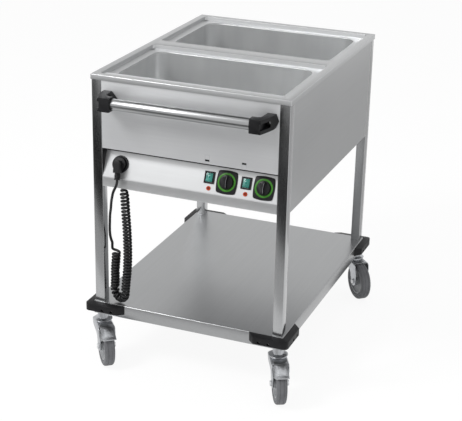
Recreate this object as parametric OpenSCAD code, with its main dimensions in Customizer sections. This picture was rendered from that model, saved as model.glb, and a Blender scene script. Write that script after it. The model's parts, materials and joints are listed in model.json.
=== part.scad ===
// Heated two-well serving trolley, in millimetres.
// +Z is up and the handle is on the -Y side. The origin is on the floor,
// under the centre of the four castors.

/* [Body] */
// Width over the side panels
body_w = 600; // [590:1:640]
// Depth over the front and back panels
body_d = 800; // [790:1:860]
// Height of the top above the floor
top_h = 910; // [890:1:940]
// Height of the body's lower edge
body_low_h = 575; // [560:1:590]
// Thickness of the folded sheet
sheet = 1.5; // [1:0.1:2]
// Width of the folded returns behind a panel
return_w = 14; // [10:1:16]
// Side of the square leg tube
leg_side = 30; // [26:1:32]
// Wall of the leg tube
leg_wall = 1.5; // [1:0.1:2.5]

/* [Top and wells] */
// Length of a well's opening, across the trolley
well_w = 509; // [480:1:515]
// Width of a well's opening, along the trolley
well_d = 305; // [280:1:308]
// Depth of a well below its ledge
well_deep = 205; // [150:1:208]
// Radius of a well's upright corners
well_corner = 45; // [36:1:60]
// Radius between a well's wall and its floor
well_fillet = 30; // [15:1:34]
// Thickness of a well's sheet
well_sheet = 1.2; // [0.8:0.1:1.6]
// Width of the bar between the two recesses
bar_w = 56; // [50:1:60]
// Drop from the top to the ledges
ledge_drop = 12; // [8:1:16]
// Ledge at the ends of a well
ledge_end = 26.5; // [22:0.5:28]
// Ledge along a well's outer side
ledge_out = 25.5; // [22:0.5:28]
// Ledge along a well's side at the bar
ledge_in = 22.5; // [20:0.5:25]
// Corner radius of a recess
recess_corner = 10; // [4:1:14]

/* [Front] */
// Height of the front panel's lower edge
front_low_h = 692; // [688:1:700]
// Height of the bend between the lip and the slanted panel
bend_h = 605; // [600:1:610]
// Lean of the slanted panel from upright, in degrees
slope = 22.7; // [18:0.1:25]
// Width of the lip's return, which carries the cable gland
lip_return = 26; // [24:1:34]

/* [Shelf] */
// Height of the shelf's folded edge
shelf_edge = 40; // [34:1:46]
// Overhang of the shelf past the side panels
shelf_over_x = 5; // [3:0.5:8]
// Overhang of the shelf past the front and back panels
shelf_over_y = 6; // [3:0.5:9]
// Reach of a corner bumper past the shelf
bumper_out = 20; // [14:1:26]
// Length of a bumper's arm along the shelf
bumper_arm = 104; // [90:1:120]
// Height of a bumper
bumper_h = 28; // [24:1:32]

/* [Handle] */
// Diameter of the handle tube
handle_d = 33; // [28:1:34]
// Wall of the handle tube
handle_wall = 1.5; // [1:0.1:3]
// Distance of the handle's axis from the front panel
handle_out = 55; // [50:1:58]
// Height of the handle's axis
handle_h = 847; // [835:1:860]
// Free length of the handle between its brackets
handle_free = 416; // [380:1:424]

/* [Controls] */
// Place of the front switch across the trolley
switch_x = 60.5; // [56:0.5:63]
// Distance from each switch to the next one
switch_step = 111.6; // [108:0.2:113]
// Distance from a switch to its thermostat
dial_step = 53.6; // [52:0.2:56]
// Switch frame, width
switch_w = 31; // [28:0.5:33]
// Switch frame, length up the slope
switch_l = 35; // [32:0.5:38]
// Thermostat plate, width
plate_w = 63; // [58:0.5:66]
// Thermostat plate, length up the slope
plate_l = 68; // [60:0.5:70]
// Diameter of a thermostat knob
knob_d = 39; // [32:0.5:40]
// Diameter of a pilot lamp's flange
lamp_d = 13; // [11:0.5:14]
// Diameter of the parking socket
socket_d = 51; // [48:0.5:56]

/* [Cord] */
// Diameter of the mains cord
cord_d = 8; // [7.6:0.1:8.1]
// Outer diameter of the curls
curl_d = 28; // [27:0.5:28.5]
// Number of curls
curl_count = 53; // [50:1:53]

/* [Castors] */
// Diameter of a wheel
wheel_d = 125; // [115:1:130]
// Width of a tyre
tyre_w = 32; // [26:1:34]
// Distance from the swivel axis to the axle
trail = 42; // [38:1:44]
// Thickness of the fork's plate
fork_sheet = 2.5; // [2:0.1:3]
// Diameter of the axle bolt
axle_d = 10; // [8:0.5:12]
// Diameter of the kingpin
kingpin_d = 12; // [10:0.5:14]

/* [Hidden] */
$fn = 64;

// Clearances
cut = 1;
seam = 0.3;
move_gap = 0.3;
run_gap = 0.05;
fit_gap = 0.1;

// Colours
steel = "LightSteelBlue";
zinc = "Gainsboro";
black = "#202022";

// Body, worked out
half_w = body_w / 2;
half_d = body_d / 2;
leg_x = half_w - leg_side / 2;
leg_y = half_d - leg_side / 2;
panel_x = half_w - leg_side - seam;
panel_y = half_d - leg_side - seam;
ledge_h = top_h - ledge_drop;
leg_top_h = ledge_h - sheet;
panel_top_h = top_h - sheet;
skirt_drop = ledge_drop + 2 * sheet;
rim_gap = 1.2;
top_x = half_w + rim_gap + sheet;
top_y = half_d + rim_gap + sheet;
top_corner = 3;

// Wells, worked out
well_y = bar_w / 2 + ledge_in + well_d / 2;
recess_x = well_w / 2 + ledge_end;
recess_in_y = bar_w / 2;
recess_out_y = well_y + well_d / 2 + ledge_out;
recess_d = recess_out_y - recess_in_y;
recess_y = (recess_out_y + recess_in_y) / 2;
well_floor_h = ledge_h - well_deep;
well_flange = 7;
basin_fn = 32;

// Slanted panel: distances are measured up the slope from the bend
slope_end_h = front_low_h - seam;
slope_end_y = -half_d + (slope_end_h - bend_h) * tan(slope);
switch_s = 45.5;
lamp_s = 14.7;
dial_s = 39.2;
socket_s = 42.4;
lamp_shift = 1.3;
switch_xs = [switch_x, switch_x + switch_step];
dial_xs = [for (x = switch_xs) x + dial_step];
lamp_xs = [for (x = switch_xs) x + lamp_shift];
socket_x = -218.5;

// Castor, worked out
wheel_r = wheel_d / 2;
wheel_clear = 3;
crown_under_h = wheel_d + wheel_clear;
crown_h = crown_under_h + fork_sheet;
race_t = 3.7;
race_r = 25.5;
rim_h = crown_h + race_t + move_gap;
rim_r = 29;
rim_t = 2;
dome_t = 5.5;
neck_t = 20;
neck_r = 16;
foot_h = rim_h + dome_t + neck_t;
stem_l = 50;
stem_side = leg_side - 2 * leg_wall - 4 * fit_gap;
kingpin_head_r = 10;
kingpin_head_t = 3.7;
corner_signs = [[-1, -1], [1, -1], [-1, 1], [1, 1]];
trail_turns = [39, 28, 30, 42];

// Shelf and bumpers, worked out
shelf_x = half_w + shelf_over_x;
shelf_y = half_d + shelf_over_y;
shelf_h = foot_h + shelf_edge;
shelf_return = 12;
bumper_top_drop = 4;
bumper_low_rise = 2;
bumper_round = 14;
bumper_end_chamfer = 18;
bumper_screw_places = [38, 68];
bumper_screw_rise = 8.5;
bumper_screw_r = 2;
bumper_head_r = 4;
bumper_head_t = 3;
bumper_pocket_deep = 12;

// Handle and brackets
handle_r = handle_d / 2;
handle_y = -half_d - handle_out;
handle_entry = 15;
bracket_x = handle_free / 2;
bracket_w = 52;
bracket_out = 76;
bracket_high = 40;
bracket_barrel_r = 20;
bracket_barrel_l = 30;
bracket_plan_share = [[1, 0], [1, 0.18], [0.885, 0.54], [0.67, 1], [0.05, 1], [0, 0.97], [0, 0.63],
    [0.29, 0.63], [0.46, 0.57], [0.5, 0.34], [0.52, 0]];
bracket_foot_share = [[0.52, 1], [1, 1], [1.17, 0], [1, -1], [0.52, -1], [0.19, 0]];
bracket_foot_t = 4;
bracket_foot_reach = 26;
bracket_foot_in_share = 0.53;
bracket_foot_out_share = 0.94;
pocket_in_share = 0.6;
pocket_out_share = 0.92;
pocket_high = 19;
pocket_floor = 15;
bolt_share = 0.82;
bolt_x = bracket_x + bolt_share * bracket_w;
bolt_r = 2.5;
bolt_head_r = 4.5;
bolt_head_t = 4;
bolt_key_r = 1.9;
nut_r = 5;
nut_t = 4;

// Rocker switch
bezel_t = 2.5;
bezel_corner = 1.5;
switch_border = 5.5;
switch_body_border = 2;
switch_body_deep = 22;
switch_floor_t = 2;
rocker_w = switch_w - 2 * switch_border - 2 * move_gap;
rocker_bulge = 1.2;
rocker_r = switch_l / 2 - switch_border + rocker_bulge - move_gap;
rocker_pivot_z = -1.5;
rocker_low = 5;
rocker_end_rise = 6.5;
rocker_mid_rise = 5;
rocker_tilt = 6;
trunnion_r = 1.5;
trunnion_l = 2;

// Thermostat, its plate, ring and knob
plate_t = 3;
plate_corner = 14;
plate_bulge = 4;
plate_hole_r = 4;
bulge_fn = 200;
ring_r = 27;
ring_in_r = 21.5;
ring_t = 0.8;
knob_base_t = 6;
knob_h = 15;
knob_grip_w = 11;
knob_waist_r = 40;
knob_waist_deep = 2;
spindle_r = 3;
spindle_entry = 18;
thermostat_w = 34;
thermostat_l = 30;
thermostat_deep = 28;

// Pilot lamp
lamp_flange_t = 1.5;
lamp_dome_t = 2.5;
lamp_dome_r = 5;
lamp_barrel_r = 4.75;
lamp_barrel_l = 20;

// Parking socket and plug, in the socket's own frame on the slope
socket_t = 4;
socket_cup_r = 22;
socket_cavity_r = 19.7;
socket_cavity_deep = 10;
socket_floor_t = 3;
plug_turn = 5.5;
plug_head_top = 11;
plug_axis_z = 17;
plug_body_low = 8;
plug_body_top = 30;
plug_body_r = 10.5;
plug_body_w = 19;
plug_body_y = 27;
plug_rib_r = 9.5;
plug_groove_r = 7.8;
plug_rib_count = 5;
plug_rib_step = 4;
plug_pin_r = 2.4;
plug_pin_l = 19;
plug_pin_x = 9.5;

// Wet-well heaters, terminal block and gland
heater_r = 4.25;
heater_span = 380;
heater_step = 60;
heater_runs = 4;
terminal_w = 60;
terminal_d = 24;
terminal_t = 20;
terminal_x = -150;
terminal_y = -330;
terminal_holes = 4;
terminal_hole_r = 2.5;
gland_x = -207;
gland_y = -387;
gland_r = 7.8;
gland_flange_r = 11;
gland_flange_t = 2;
gland_top = 8;
gland_nut_t = 4;
gland_end_h = body_low_h - gland_flange_t + cord_d;

// Curly cord: its axis from the gland down, round the bend and up, and where the cord leaves its last curl
curl_axis = [[-207, -387, 573], [-207, -387, 562], [-205, -387, 540], [-201, -389, 490], [-198, -390, 450],
    [-196, -391, 412], [-195, -392, 365], [-196, -394, 316], [-199, -395, 280], [-202, -397, 241.5],
    [-203.5, -396, 232], [-208.5, -394, 224], [-216, -390, 218.5], [-224.5, -386, 216.5],
    [-233, -382, 218.5], [-240.5, -378.5, 224], [-245.5, -376, 232], [-247, -375, 241.5],
    [-245, -377, 269], [-244, -378, 302], [-241, -379, 334], [-239, -379, 361]];
curl_leave = [-257, -370, 370];
curl_leave_pull = 9;
curl_rings = 8;
curl_sides = 6;
curl_pitches = [[0, 11], [0.54, 9.6], [0.59, 9.8], [0.8, 9.8], [0.83, 9.6], [1, 10.2]];
curl_bend_r = 34;
curl_in_rs = [9.5, -1];
curl_feel = 10;
curl_turn_share = 0.75;

// Straight cord: from the plug's strain relief down to the curly cord's end
cord_route = [[-214.5, -423, 592], [-218.5, -424.5, 582], [-223.5, -424.5, 571], [-228.5, -422.5, 554],
    [-235, -415.5, 533.5], [-241.5, -406, 511], [-248.5, -398, 487], [-254, -389.5, 460],
    [-258.5, -382, 434], [-260.5, -376.5, 414], [-259.5, -372.5, 397.5]];
cord_sides = 10;

// Helpers

// A box between two opposite corners
module span(low, high) {
    translate(low) cube(high - low);
}

// A rectangle with round corners, centred
module round_rect(w, d, r) {
    square([w, d - 2 * r], center = true);
    square([w - 2 * r, d], center = true);
    for (x = [-1, 1], y = [-1, 1]) {
        translate([x * (w / 2 - r), y * (d / 2 - r)]) circle(r);
    }
}

// A panel folded from sheet, seen from its face: w wide, h high, with a return on all four sides
module folded_tray(w, h, deep) {
    difference() {
        translate([-w / 2, 0, 0]) cube([w, deep, h]);
        translate([-w / 2 + sheet, sheet, sheet]) cube([w - 2 * sheet, deep, h - 2 * sheet]);
    }
}

// Puts its children on the slanted panel: local Z points out of the panel, local Y up the slope
module on_slope(x, s) {
    translate([x, -half_d + s * sin(slope), bend_h + s * cos(slope)]) rotate([90 - slope, 0, 0]) children();
}

// Puts its children at one corner of the trolley
module at_corner(i) {
    translate([corner_signs[i][0] * leg_x, corner_signs[i][1] * leg_y, 0]) children();
}

// Puts its children at one castor, with local X along its trail
module at_castor(i) {
    at_corner(i) rotate([0, 0, trail_turns[i] - 90]) children();
}

// An upright outline in local X and Z, extruded across and centred on Y
module across(w) {
    rotate([90, 0, 0]) linear_extrude(w, center = true) children();
}

// Top and wells

// Top sheet with two stepped recesses, the ledges in them and a folded edge
module top_plate() {
    color(steel) difference() {
        union() {
            translate([0, 0, top_h - sheet]) linear_extrude(sheet)
                round_rect(2 * top_x, 2 * top_y, top_corner);
            difference() {
                translate([0, 0, top_h - skirt_drop]) linear_extrude(skirt_drop)
                    round_rect(2 * top_x, 2 * top_y, top_corner);
                translate([0, 0, top_h - skirt_drop - cut]) linear_extrude(skirt_drop)
                    round_rect(2 * (top_x - sheet), 2 * (top_y - sheet), top_corner - sheet);
            }
            for (y = [-1, 1]) {
                translate([0, y * recess_y, leg_top_h]) linear_extrude(ledge_drop + sheet)
                    round_rect(2 * (recess_x + sheet), recess_d + 2 * sheet, recess_corner + sheet);
            }
        }
        for (y = [-1, 1]) {
            translate([0, y * recess_y, ledge_h]) linear_extrude(ledge_drop + cut)
                round_rect(2 * recess_x, recess_d, recess_corner);
            translate([0, y * well_y, leg_top_h - cut]) linear_extrude(ledge_drop)
                round_rect(well_w, well_d, well_corner);
        }
    }
}

// A pan's space: round upright corners and a round edge at the floor
module basin(w, d, corner, fillet, h) {
    hull() for (x = [-1, 1], y = [-1, 1]) {
        translate([x * (w / 2 - corner), y * (d / 2 - corner), 0]) rotate_extrude($fn = basin_fn) {
            square([corner - fillet, h]);
            translate([0, fillet]) square([corner, h - fillet]);
            translate([corner - fillet, fillet]) intersection() {
                circle(fillet, $fn = basin_fn);
                translate([0, -fillet]) square(fillet);
            }
        }
    }
}

// A deep well, welded under the ledge by its flange
module well(side) {
    rim_under_h = leg_top_h - well_floor_h;
    color("Silver") translate([0, side * well_y, well_floor_h]) difference() {
        union() {
            translate([0, 0, -well_sheet])
                basin(well_w + 2 * well_sheet, well_d + 2 * well_sheet, well_corner + well_sheet,
                    well_fillet + well_sheet, rim_under_h + well_sheet);
            translate([0, 0, rim_under_h - well_sheet]) linear_extrude(well_sheet)
                round_rect(well_w + 2 * well_flange, well_d + 2 * well_flange, well_corner + well_flange);
        }
        basin(well_w, well_d, well_corner, well_fillet, rim_under_h + cut);
    }
}

// Body

// Front panel with a deep return at its lower edge
module front_panel() {
    low_return = slope_end_y + half_d - 2 * seam;
    color(steel) difference() {
        union() {
            translate([0, -half_d, front_low_h])
                folded_tray(2 * panel_x, panel_top_h - front_low_h, return_w);
            span([-panel_x, -half_d, front_low_h], [panel_x, -half_d + low_return, front_low_h + sheet]);
        }
        for (x = [-1, 1]) {
            translate([x * bolt_x, -half_d - cut, handle_h]) rotate([-90, 0, 0])
                cylinder(h = sheet + 2 * cut, r = bolt_r + fit_gap);
        }
    }
}

// Side panel, from the body's lower edge to the top
module side_panel(side) {
    color(steel) translate([side * half_w, 0, body_low_h]) rotate([0, 0, side * 90])
        folded_tray(2 * panel_y, panel_top_h - body_low_h, return_w);
}

// Back panel, from the body's lower edge to the top
module back_panel() {
    color(steel) translate([0, half_d, body_low_h]) rotate([0, 0, 180])
        folded_tray(2 * panel_x, panel_top_h - body_low_h, return_w);
}

// Lip, slanted panel and the lip's return in one folded sheet, with the cut-outs for the controls
module control_panel() {
    half_bend = sheet * tan(slope / 2);
    slant_t = sheet / cos(slope);
    deep = 2 * sheet;
    color(steel) difference() {
        rotate([90, 0, 90]) linear_extrude(2 * panel_x, center = true) polygon([
            [-half_d, body_low_h],
            [-half_d, bend_h],
            [slope_end_y, slope_end_h],
            [slope_end_y + slant_t, slope_end_h],
            [-half_d + sheet, bend_h - half_bend],
            [-half_d + sheet, body_low_h + sheet],
            [-half_d + lip_return, body_low_h + sheet],
            [-half_d + lip_return, body_low_h]]);
        for (x = switch_xs) {
            on_slope(x, switch_s) translate([0, 0, -deep]) linear_extrude(2 * deep)
                square([switch_w - 2 * switch_body_border + 2 * fit_gap,
                    switch_l - 2 * switch_body_border + 2 * fit_gap], center = true);
        }
        for (x = lamp_xs) {
            on_slope(x, lamp_s) translate([0, 0, -deep]) cylinder(h = 2 * deep, r = lamp_barrel_r + fit_gap);
        }
        for (x = dial_xs) {
            on_slope(x, dial_s) translate([0, 0, -deep]) cylinder(h = 2 * deep, r = plate_hole_r);
        }
        on_slope(socket_x, socket_s) translate([0, 0, -deep])
            cylinder(h = 2 * deep, r = socket_cup_r + fit_gap);
        translate([gland_x, gland_y, body_low_h - cut]) cylinder(h = sheet + 2 * cut, r = gland_r + fit_gap);
    }
}

// Bottom cover, which lies on the returns
module bottom_cover() {
    cover_x = half_w - sheet - seam;
    cover_y = half_d - sheet - seam;
    notch_x = panel_x - sheet - seam;
    notch_y = panel_y - sheet - seam;
    color("Gray") difference() {
        span([-cover_x, -cover_y, body_low_h + sheet], [cover_x, cover_y, body_low_h + 2 * sheet]);
        for (x = [-1, 1], y = [-1, 1]) {
            translate([x * (notch_x + half_w) / 2, y * (notch_y + half_d) / 2, body_low_h])
                cube([half_w - notch_x, half_d - notch_y, 6 * sheet], center = true);
        }
        translate([gland_x, gland_y, body_low_h]) cylinder(h = 3 * sheet, r = gland_r + fit_gap);
    }
}

// One square leg tube
module leg(i) {
    color(steel) at_corner(i) translate([0, 0, foot_h]) linear_extrude(leg_top_h - foot_h) difference() {
        square(leg_side, center = true);
        square(leg_side - 2 * leg_wall, center = true);
    }
}

// Shelf and bumpers

// Shelf with a folded edge, a return under it and a square hole for each leg
module bottom_shelf() {
    edge_low_h = shelf_h - shelf_edge;
    hole = leg_side + 2 * seam;
    color("LightSlateGray") difference() {
        span([-shelf_x, -shelf_y, edge_low_h], [shelf_x, shelf_y, shelf_h]);
        span([-shelf_x + sheet, -shelf_y + sheet, edge_low_h + sheet],
            [shelf_x - sheet, shelf_y - sheet, shelf_h - sheet]);
        span([-shelf_x + shelf_return, -shelf_y + shelf_return, edge_low_h - cut],
            [shelf_x - shelf_return, shelf_y - shelf_return, shelf_h - sheet]);
        for (i = [0:3]) {
            at_corner(i) translate([-hole / 2, -hole / 2, edge_low_h - cut])
                cube([hole, hole, shelf_edge + 2 * cut]);
            bumper_screw_bores(i, bumper_screw_r + fit_gap);
        }
    }
}

// Puts its children at each screw of one bumper, with local Z pointing out of the shelf's edge
module at_bumper_screws(i) {
    sx = corner_signs[i][0];
    sy = corner_signs[i][1];
    screw_h = shelf_h - bumper_h + bumper_screw_rise;
    for (d = bumper_screw_places) {
        translate([sx * (shelf_x - d), sy * shelf_y, screw_h]) rotate([-90 * sy, 0, 0]) children();
        translate([sx * shelf_x, sy * (shelf_y - d), screw_h]) rotate([0, 90 * sx, 0]) children();
    }
}

// The holes for those screws, right through a bumper and the shelf's edge
module bumper_screw_bores(i, r) {
    at_bumper_screws(i) translate([0, 0, -2 * sheet]) cylinder(h = bumper_out + 4 * sheet, r = r);
}

// Corner bumper: two arms with a sloping top, meeting in a mitre at the round corner
module bumper(i) {
    sx = corner_signs[i][0];
    sy = corner_signs[i][1];
    out = 2 * bumper_out;
    low_h = shelf_h - bumper_h;
    long = bumper_arm + bumper_out;
    section = [[-long, 0], [bumper_out, 0], [out, bumper_low_rise], [out, bumper_h - bumper_top_drop],
        [bumper_out, bumper_h], [-long, bumper_h]];
    color(black) difference() {
        translate([sx * shelf_x, sy * shelf_y, low_h])
            mirror([sx < 0 ? 1 : 0, 0, 0]) mirror([0, sy < 0 ? 1 : 0, 0])
            translate([-bumper_out, -bumper_out, 0]) difference() {
                intersection() {
                    linear_extrude(bumper_h) bumper_plan();
                    rotate([90, 0, 0]) linear_extrude(2 * long, center = true) polygon(section);
                    rotate([90, 0, 90]) linear_extrude(2 * long, center = true) polygon(section);
                }
                span([-long, -long, -cut], [bumper_out, bumper_out, bumper_h + cut]);
            }
        bumper_screw_bores(i, bumper_screw_r + fit_gap);
        at_bumper_screws(i) translate([0, 0, bumper_out - bumper_pocket_deep])
            cylinder(h = bumper_pocket_deep + cut, r = bumper_head_r + seam);
    }
}

// A bumper's outline from above, with the shelf's corner at one bumper_out from the origin
module bumper_plan() {
    out = 2 * bumper_out;
    arm_end = bumper_out - bumper_arm;
    slant_end = arm_end + bumper_end_chamfer;
    difference() {
        union() {
            translate([arm_end, arm_end]) square([out - arm_end - bumper_round, out - arm_end]);
            translate([arm_end, arm_end]) square([out - arm_end, out - arm_end - bumper_round]);
            translate([out - bumper_round, out - bumper_round]) circle(bumper_round);
        }
        for (turned = [false, true]) {
            mirror(turned ? [1, -1] : [0, 0])
                polygon([[arm_end, bumper_out], [slant_end, out], [slant_end, out + cut],
                    [arm_end - cut, out + cut], [arm_end - cut, bumper_out]]);
        }
    }
}

// Screws of all bumpers
module bumper_screws() {
    color("DimGray") for (i = [0:3]) {
        at_bumper_screws(i) union() {
            translate([0, 0, bumper_out - bumper_pocket_deep]) cylinder(h = bumper_head_t, r = bumper_head_r);
            translate([0, 0, -2 * sheet])
                cylinder(h = bumper_out - bumper_pocket_deep + 2 * sheet, r = bumper_screw_r);
        }
    }
}

// Handle

// Push handle, whose ends sit in the brackets
module handle_tube() {
    long = handle_free + 2 * handle_entry - 2 * seam;
    color("WhiteSmoke") translate([-long / 2, handle_y, handle_h]) rotate([0, 90, 0]) difference() {
        cylinder(h = long, r = handle_r);
        translate([0, 0, -cut]) cylinder(h = long + 2 * cut, r = handle_r - handle_wall);
    }
}

// Right-hand bracket: barrel round the tube, arm, six-sided foot and a screw pocket in its outer side
module bracket() {
    low_h = handle_h - bracket_high / 2;
    foot_in_x = bracket_x + bracket_foot_in_share * bracket_w;
    foot_out_x = bracket_x + bracket_foot_out_share * bracket_w;
    pocket_in_x = bracket_x + pocket_in_share * bracket_w;
    pocket_out_x = bracket_x + pocket_out_share * bracket_w;
    difference() {
        union() {
            translate([bracket_x, handle_y, handle_h]) rotate([0, 90, 0])
                cylinder(h = bracket_barrel_l, r = bracket_barrel_r);
            translate([0, 0, low_h]) linear_extrude(bracket_high)
                polygon([for (p = bracket_plan_share)
                    [bracket_x + p[0] * bracket_w, -half_d - p[1] * bracket_out]]);
            hull() {
                translate([0, -half_d, handle_h]) rotate([90, 0, 0]) linear_extrude(bracket_foot_t)
                    polygon([for (p = bracket_foot_share)
                        [bracket_x + p[0] * bracket_w, p[1] * bracket_high / 2]]);
                span([foot_in_x, -half_d - bracket_foot_reach, low_h],
                    [foot_out_x, -half_d, low_h + bracket_high]);
            }
        }
        translate([bracket_x - cut, handle_y, handle_h]) rotate([0, 90, 0])
            cylinder(h = handle_entry + cut, r = handle_r + fit_gap);
        translate([bolt_x, -half_d + cut, handle_h]) rotate([90, 0, 0])
            cylinder(h = bracket_out, r = bolt_r + fit_gap);
        span([pocket_in_x, -half_d - bracket_out - cut, handle_h - pocket_high / 2],
            [pocket_out_x, -half_d - pocket_floor, handle_h + pocket_high / 2]);
    }
}

// Bracket on the left (-1) or right (1)
module handle_bracket(side) {
    color(black) mirror([side < 0 ? 1 : 0, 0, 0]) bracket();
}

// The two bracket bolts with their nuts behind the front panel
module handle_screws() {
    color("Silver") for (x = [-1, 1]) {
        translate([x * bolt_x, -half_d, handle_h]) rotate([90, 0, 0]) {
            translate([0, 0, pocket_floor]) difference() {
                cylinder(h = bolt_head_t, r = bolt_head_r);
                translate([0, 0, bolt_head_t / 2]) cylinder(h = bolt_head_t, r = bolt_key_r, $fn = 6);
            }
            translate([0, 0, -sheet - nut_t]) cylinder(h = pocket_floor + sheet + nut_t, r = bolt_r);
            translate([0, 0, -sheet - nut_t]) cylinder(h = nut_t, r = nut_r, $fn = 6);
        }
    }
}

// Controls

// Frame of a rocker switch: a raised border, the housing behind the panel and two pivot bores
module switch_frame(k) {
    body_w2 = switch_w - 2 * switch_body_border;
    body_l2 = switch_l - 2 * switch_body_border;
    hole_w = rocker_w + 2 * move_gap;
    hole_l = 2 * (rocker_r + move_gap);
    color(black) on_slope(switch_xs[k], switch_s) difference() {
        union() {
            linear_extrude(bezel_t) round_rect(switch_w, switch_l, bezel_corner);
            translate([0, 0, -switch_body_deep]) linear_extrude(switch_body_deep)
                square([body_w2, body_l2], center = true);
        }
        translate([0, 0, -switch_body_deep + switch_floor_t]) linear_extrude(switch_body_deep + 2 * bezel_t)
            square([hole_w, hole_l], center = true);
        translate([0, 0, rocker_pivot_z]) rotate([0, 90, 0])
            cylinder(h = rocker_w + 2 * trunnion_l + 4 * move_gap, r = trunnion_r + run_gap, center = true);
    }
}

// Rocker, tilted to its off position on its two trunnions
module rocker(k) {
    color("#1f9484") on_slope(switch_xs[k], switch_s) translate([0, 0, rocker_pivot_z])
        rotate([-rocker_tilt, 0, 0]) {
            rotate([90, 0, 90]) linear_extrude(rocker_w, center = true) intersection() {
                circle(rocker_r);
                polygon([[-rocker_r, -rocker_low], [rocker_r, -rocker_low], [rocker_r, rocker_end_rise],
                    [0, rocker_mid_rise], [-rocker_r, rocker_end_rise]]);
            }
            rotate([0, 90, 0])
                cylinder(h = rocker_w + 2 * trunnion_l + 2 * move_gap, r = trunnion_r, center = true);
        }
}

// Two pilot lamps: flange, domed lens and barrel
module pilot_lamps() {
    ball_r = (lamp_dome_r * lamp_dome_r / lamp_dome_t + lamp_dome_t) / 2;
    color("#c8501e") for (x = lamp_xs) {
        on_slope(x, lamp_s) {
            cylinder(h = lamp_flange_t, r = lamp_d / 2);
            translate([0, 0, -lamp_barrel_l]) cylinder(h = lamp_barrel_l, r = lamp_barrel_r);
            translate([0, 0, lamp_flange_t]) intersection() {
                translate([0, 0, lamp_dome_t - ball_r]) sphere(ball_r);
                cylinder(h = lamp_dome_t + cut, r = lamp_dome_r);
            }
        }
    }
}

// Outline of a thermostat plate: round corners and slightly bulging sides
module plate_outline() {
    bulge_rx = (plate_l * plate_l / 4 / plate_bulge + plate_bulge) / 2;
    bulge_ry = (plate_w * plate_w / 4 / plate_bulge + plate_bulge) / 2;
    intersection() {
        translate([plate_w / 2 - bulge_rx, 0]) circle(bulge_rx, $fn = bulge_fn);
        translate([bulge_rx - plate_w / 2, 0]) circle(bulge_rx, $fn = bulge_fn);
        translate([0, plate_l / 2 - bulge_ry]) circle(bulge_ry, $fn = bulge_fn);
        translate([0, bulge_ry - plate_l / 2]) circle(bulge_ry, $fn = bulge_fn);
        round_rect(plate_w, plate_l, plate_corner);
    }
}

// Black plate round a thermostat's spindle
module thermostat_plate(k) {
    color(black) on_slope(dial_xs[k], dial_s) difference() {
        linear_extrude(plate_t) plate_outline();
        translate([0, 0, -cut]) cylinder(h = plate_t + 2 * cut, r = plate_hole_r);
    }
}

// Green scale rings on the plates
module dial_rings() {
    color("#4b8c32") for (x = dial_xs) {
        on_slope(x, dial_s) translate([0, 0, plate_t]) difference() {
            cylinder(h = ring_t, r = ring_r);
            translate([0, 0, -cut]) cylinder(h = ring_t + 2 * cut, r = ring_in_r);
        }
    }
}

// Knob with a waisted grip bar, in one piece with its spindle
module knob(k) {
    low = plate_t + move_gap;
    knob_r = knob_d / 2;
    color("#2a2a2c") on_slope(dial_xs[k], dial_s) {
        translate([0, 0, low]) cylinder(h = knob_base_t, r = knob_r);
        translate([0, 0, low]) intersection() {
            cylinder(h = knob_h, r = knob_r - cut);
            linear_extrude(knob_h) difference() {
                square([knob_grip_w, knob_d], center = true);
                for (x = [-1, 1]) {
                    translate([x * (knob_grip_w / 2 + knob_waist_r - knob_waist_deep), 0])
                        circle(knob_waist_r);
                }
            }
        }
        translate([0, 0, -sheet - spindle_entry]) cylinder(h = low + sheet + spindle_entry, r = spindle_r);
    }
}

// Thermostats behind the slanted panel, each with the bore that its spindle turns in
module thermostat_bodies() {
    color("Peru") for (x = dial_xs) {
        on_slope(x, dial_s) difference() {
            translate([-thermostat_w / 2, -thermostat_l / 2, -sheet - thermostat_deep])
                cube([thermostat_w, thermostat_l, thermostat_deep]);
            translate([0, 0, -sheet - spindle_entry - move_gap])
                cylinder(h = spindle_entry + 2 * cut, r = spindle_r + run_gap);
        }
    }
}

// A tube heater bent to and fro under each well
module heating_elements() {
    bend_r = heater_step / 2;
    half = heater_span / 2;
    first = -(heater_runs - 1) / 2 * heater_step;
    color("DarkSlateGray") for (side = [-1, 1]) {
        translate([0, side * well_y, well_floor_h - well_sheet - seam - heater_r]) {
            for (k = [0:heater_runs - 1]) {
                translate([-half, first + k * heater_step, 0]) rotate([0, 90, 0])
                    cylinder(h = heater_span, r = heater_r);
            }
            for (k = [0:heater_runs - 2]) {
                turn = k % 2 == 0 ? 1 : -1;
                translate([turn * half, first + (k + 0.5) * heater_step, 0]) rotate([0, 0, -90 * turn])
                    rotate_extrude(angle = 180) translate([bend_r, 0]) circle(heater_r);
            }
        }
    }
}

// Terminal block on the bottom cover
module terminal_block() {
    step = terminal_w / terminal_holes;
    color("Ivory") translate([terminal_x, terminal_y, body_low_h + 2 * sheet]) difference() {
        cube([terminal_w, terminal_d, terminal_t]);
        for (k = [0:terminal_holes - 1]) {
            translate([(k + 0.5) * step, terminal_d / 2, terminal_t / 2])
                cylinder(h = terminal_t, r = terminal_hole_r);
        }
    }
}

// Round socket that the plug is parked in, with its cup behind the panel
module parking_socket() {
    color(black) on_slope(socket_x, socket_s) difference() {
        union() {
            cylinder(h = socket_t, r = socket_d / 2);
            translate([0, 0, -socket_cavity_deep - socket_floor_t])
                cylinder(h = socket_cavity_deep + socket_floor_t, r = socket_cup_r);
        }
        translate([0, 0, -socket_cavity_deep])
            cylinder(h = socket_cavity_deep + socket_t + cut, r = socket_cavity_r);
        rotate([0, 0, plug_turn]) for (x = [-1, 1]) {
            translate([x * plug_pin_x, 0, -2 * socket_cavity_deep])
                cylinder(h = 2 * socket_cavity_deep, r = plug_pin_r + seam);
        }
    }
}

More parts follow.
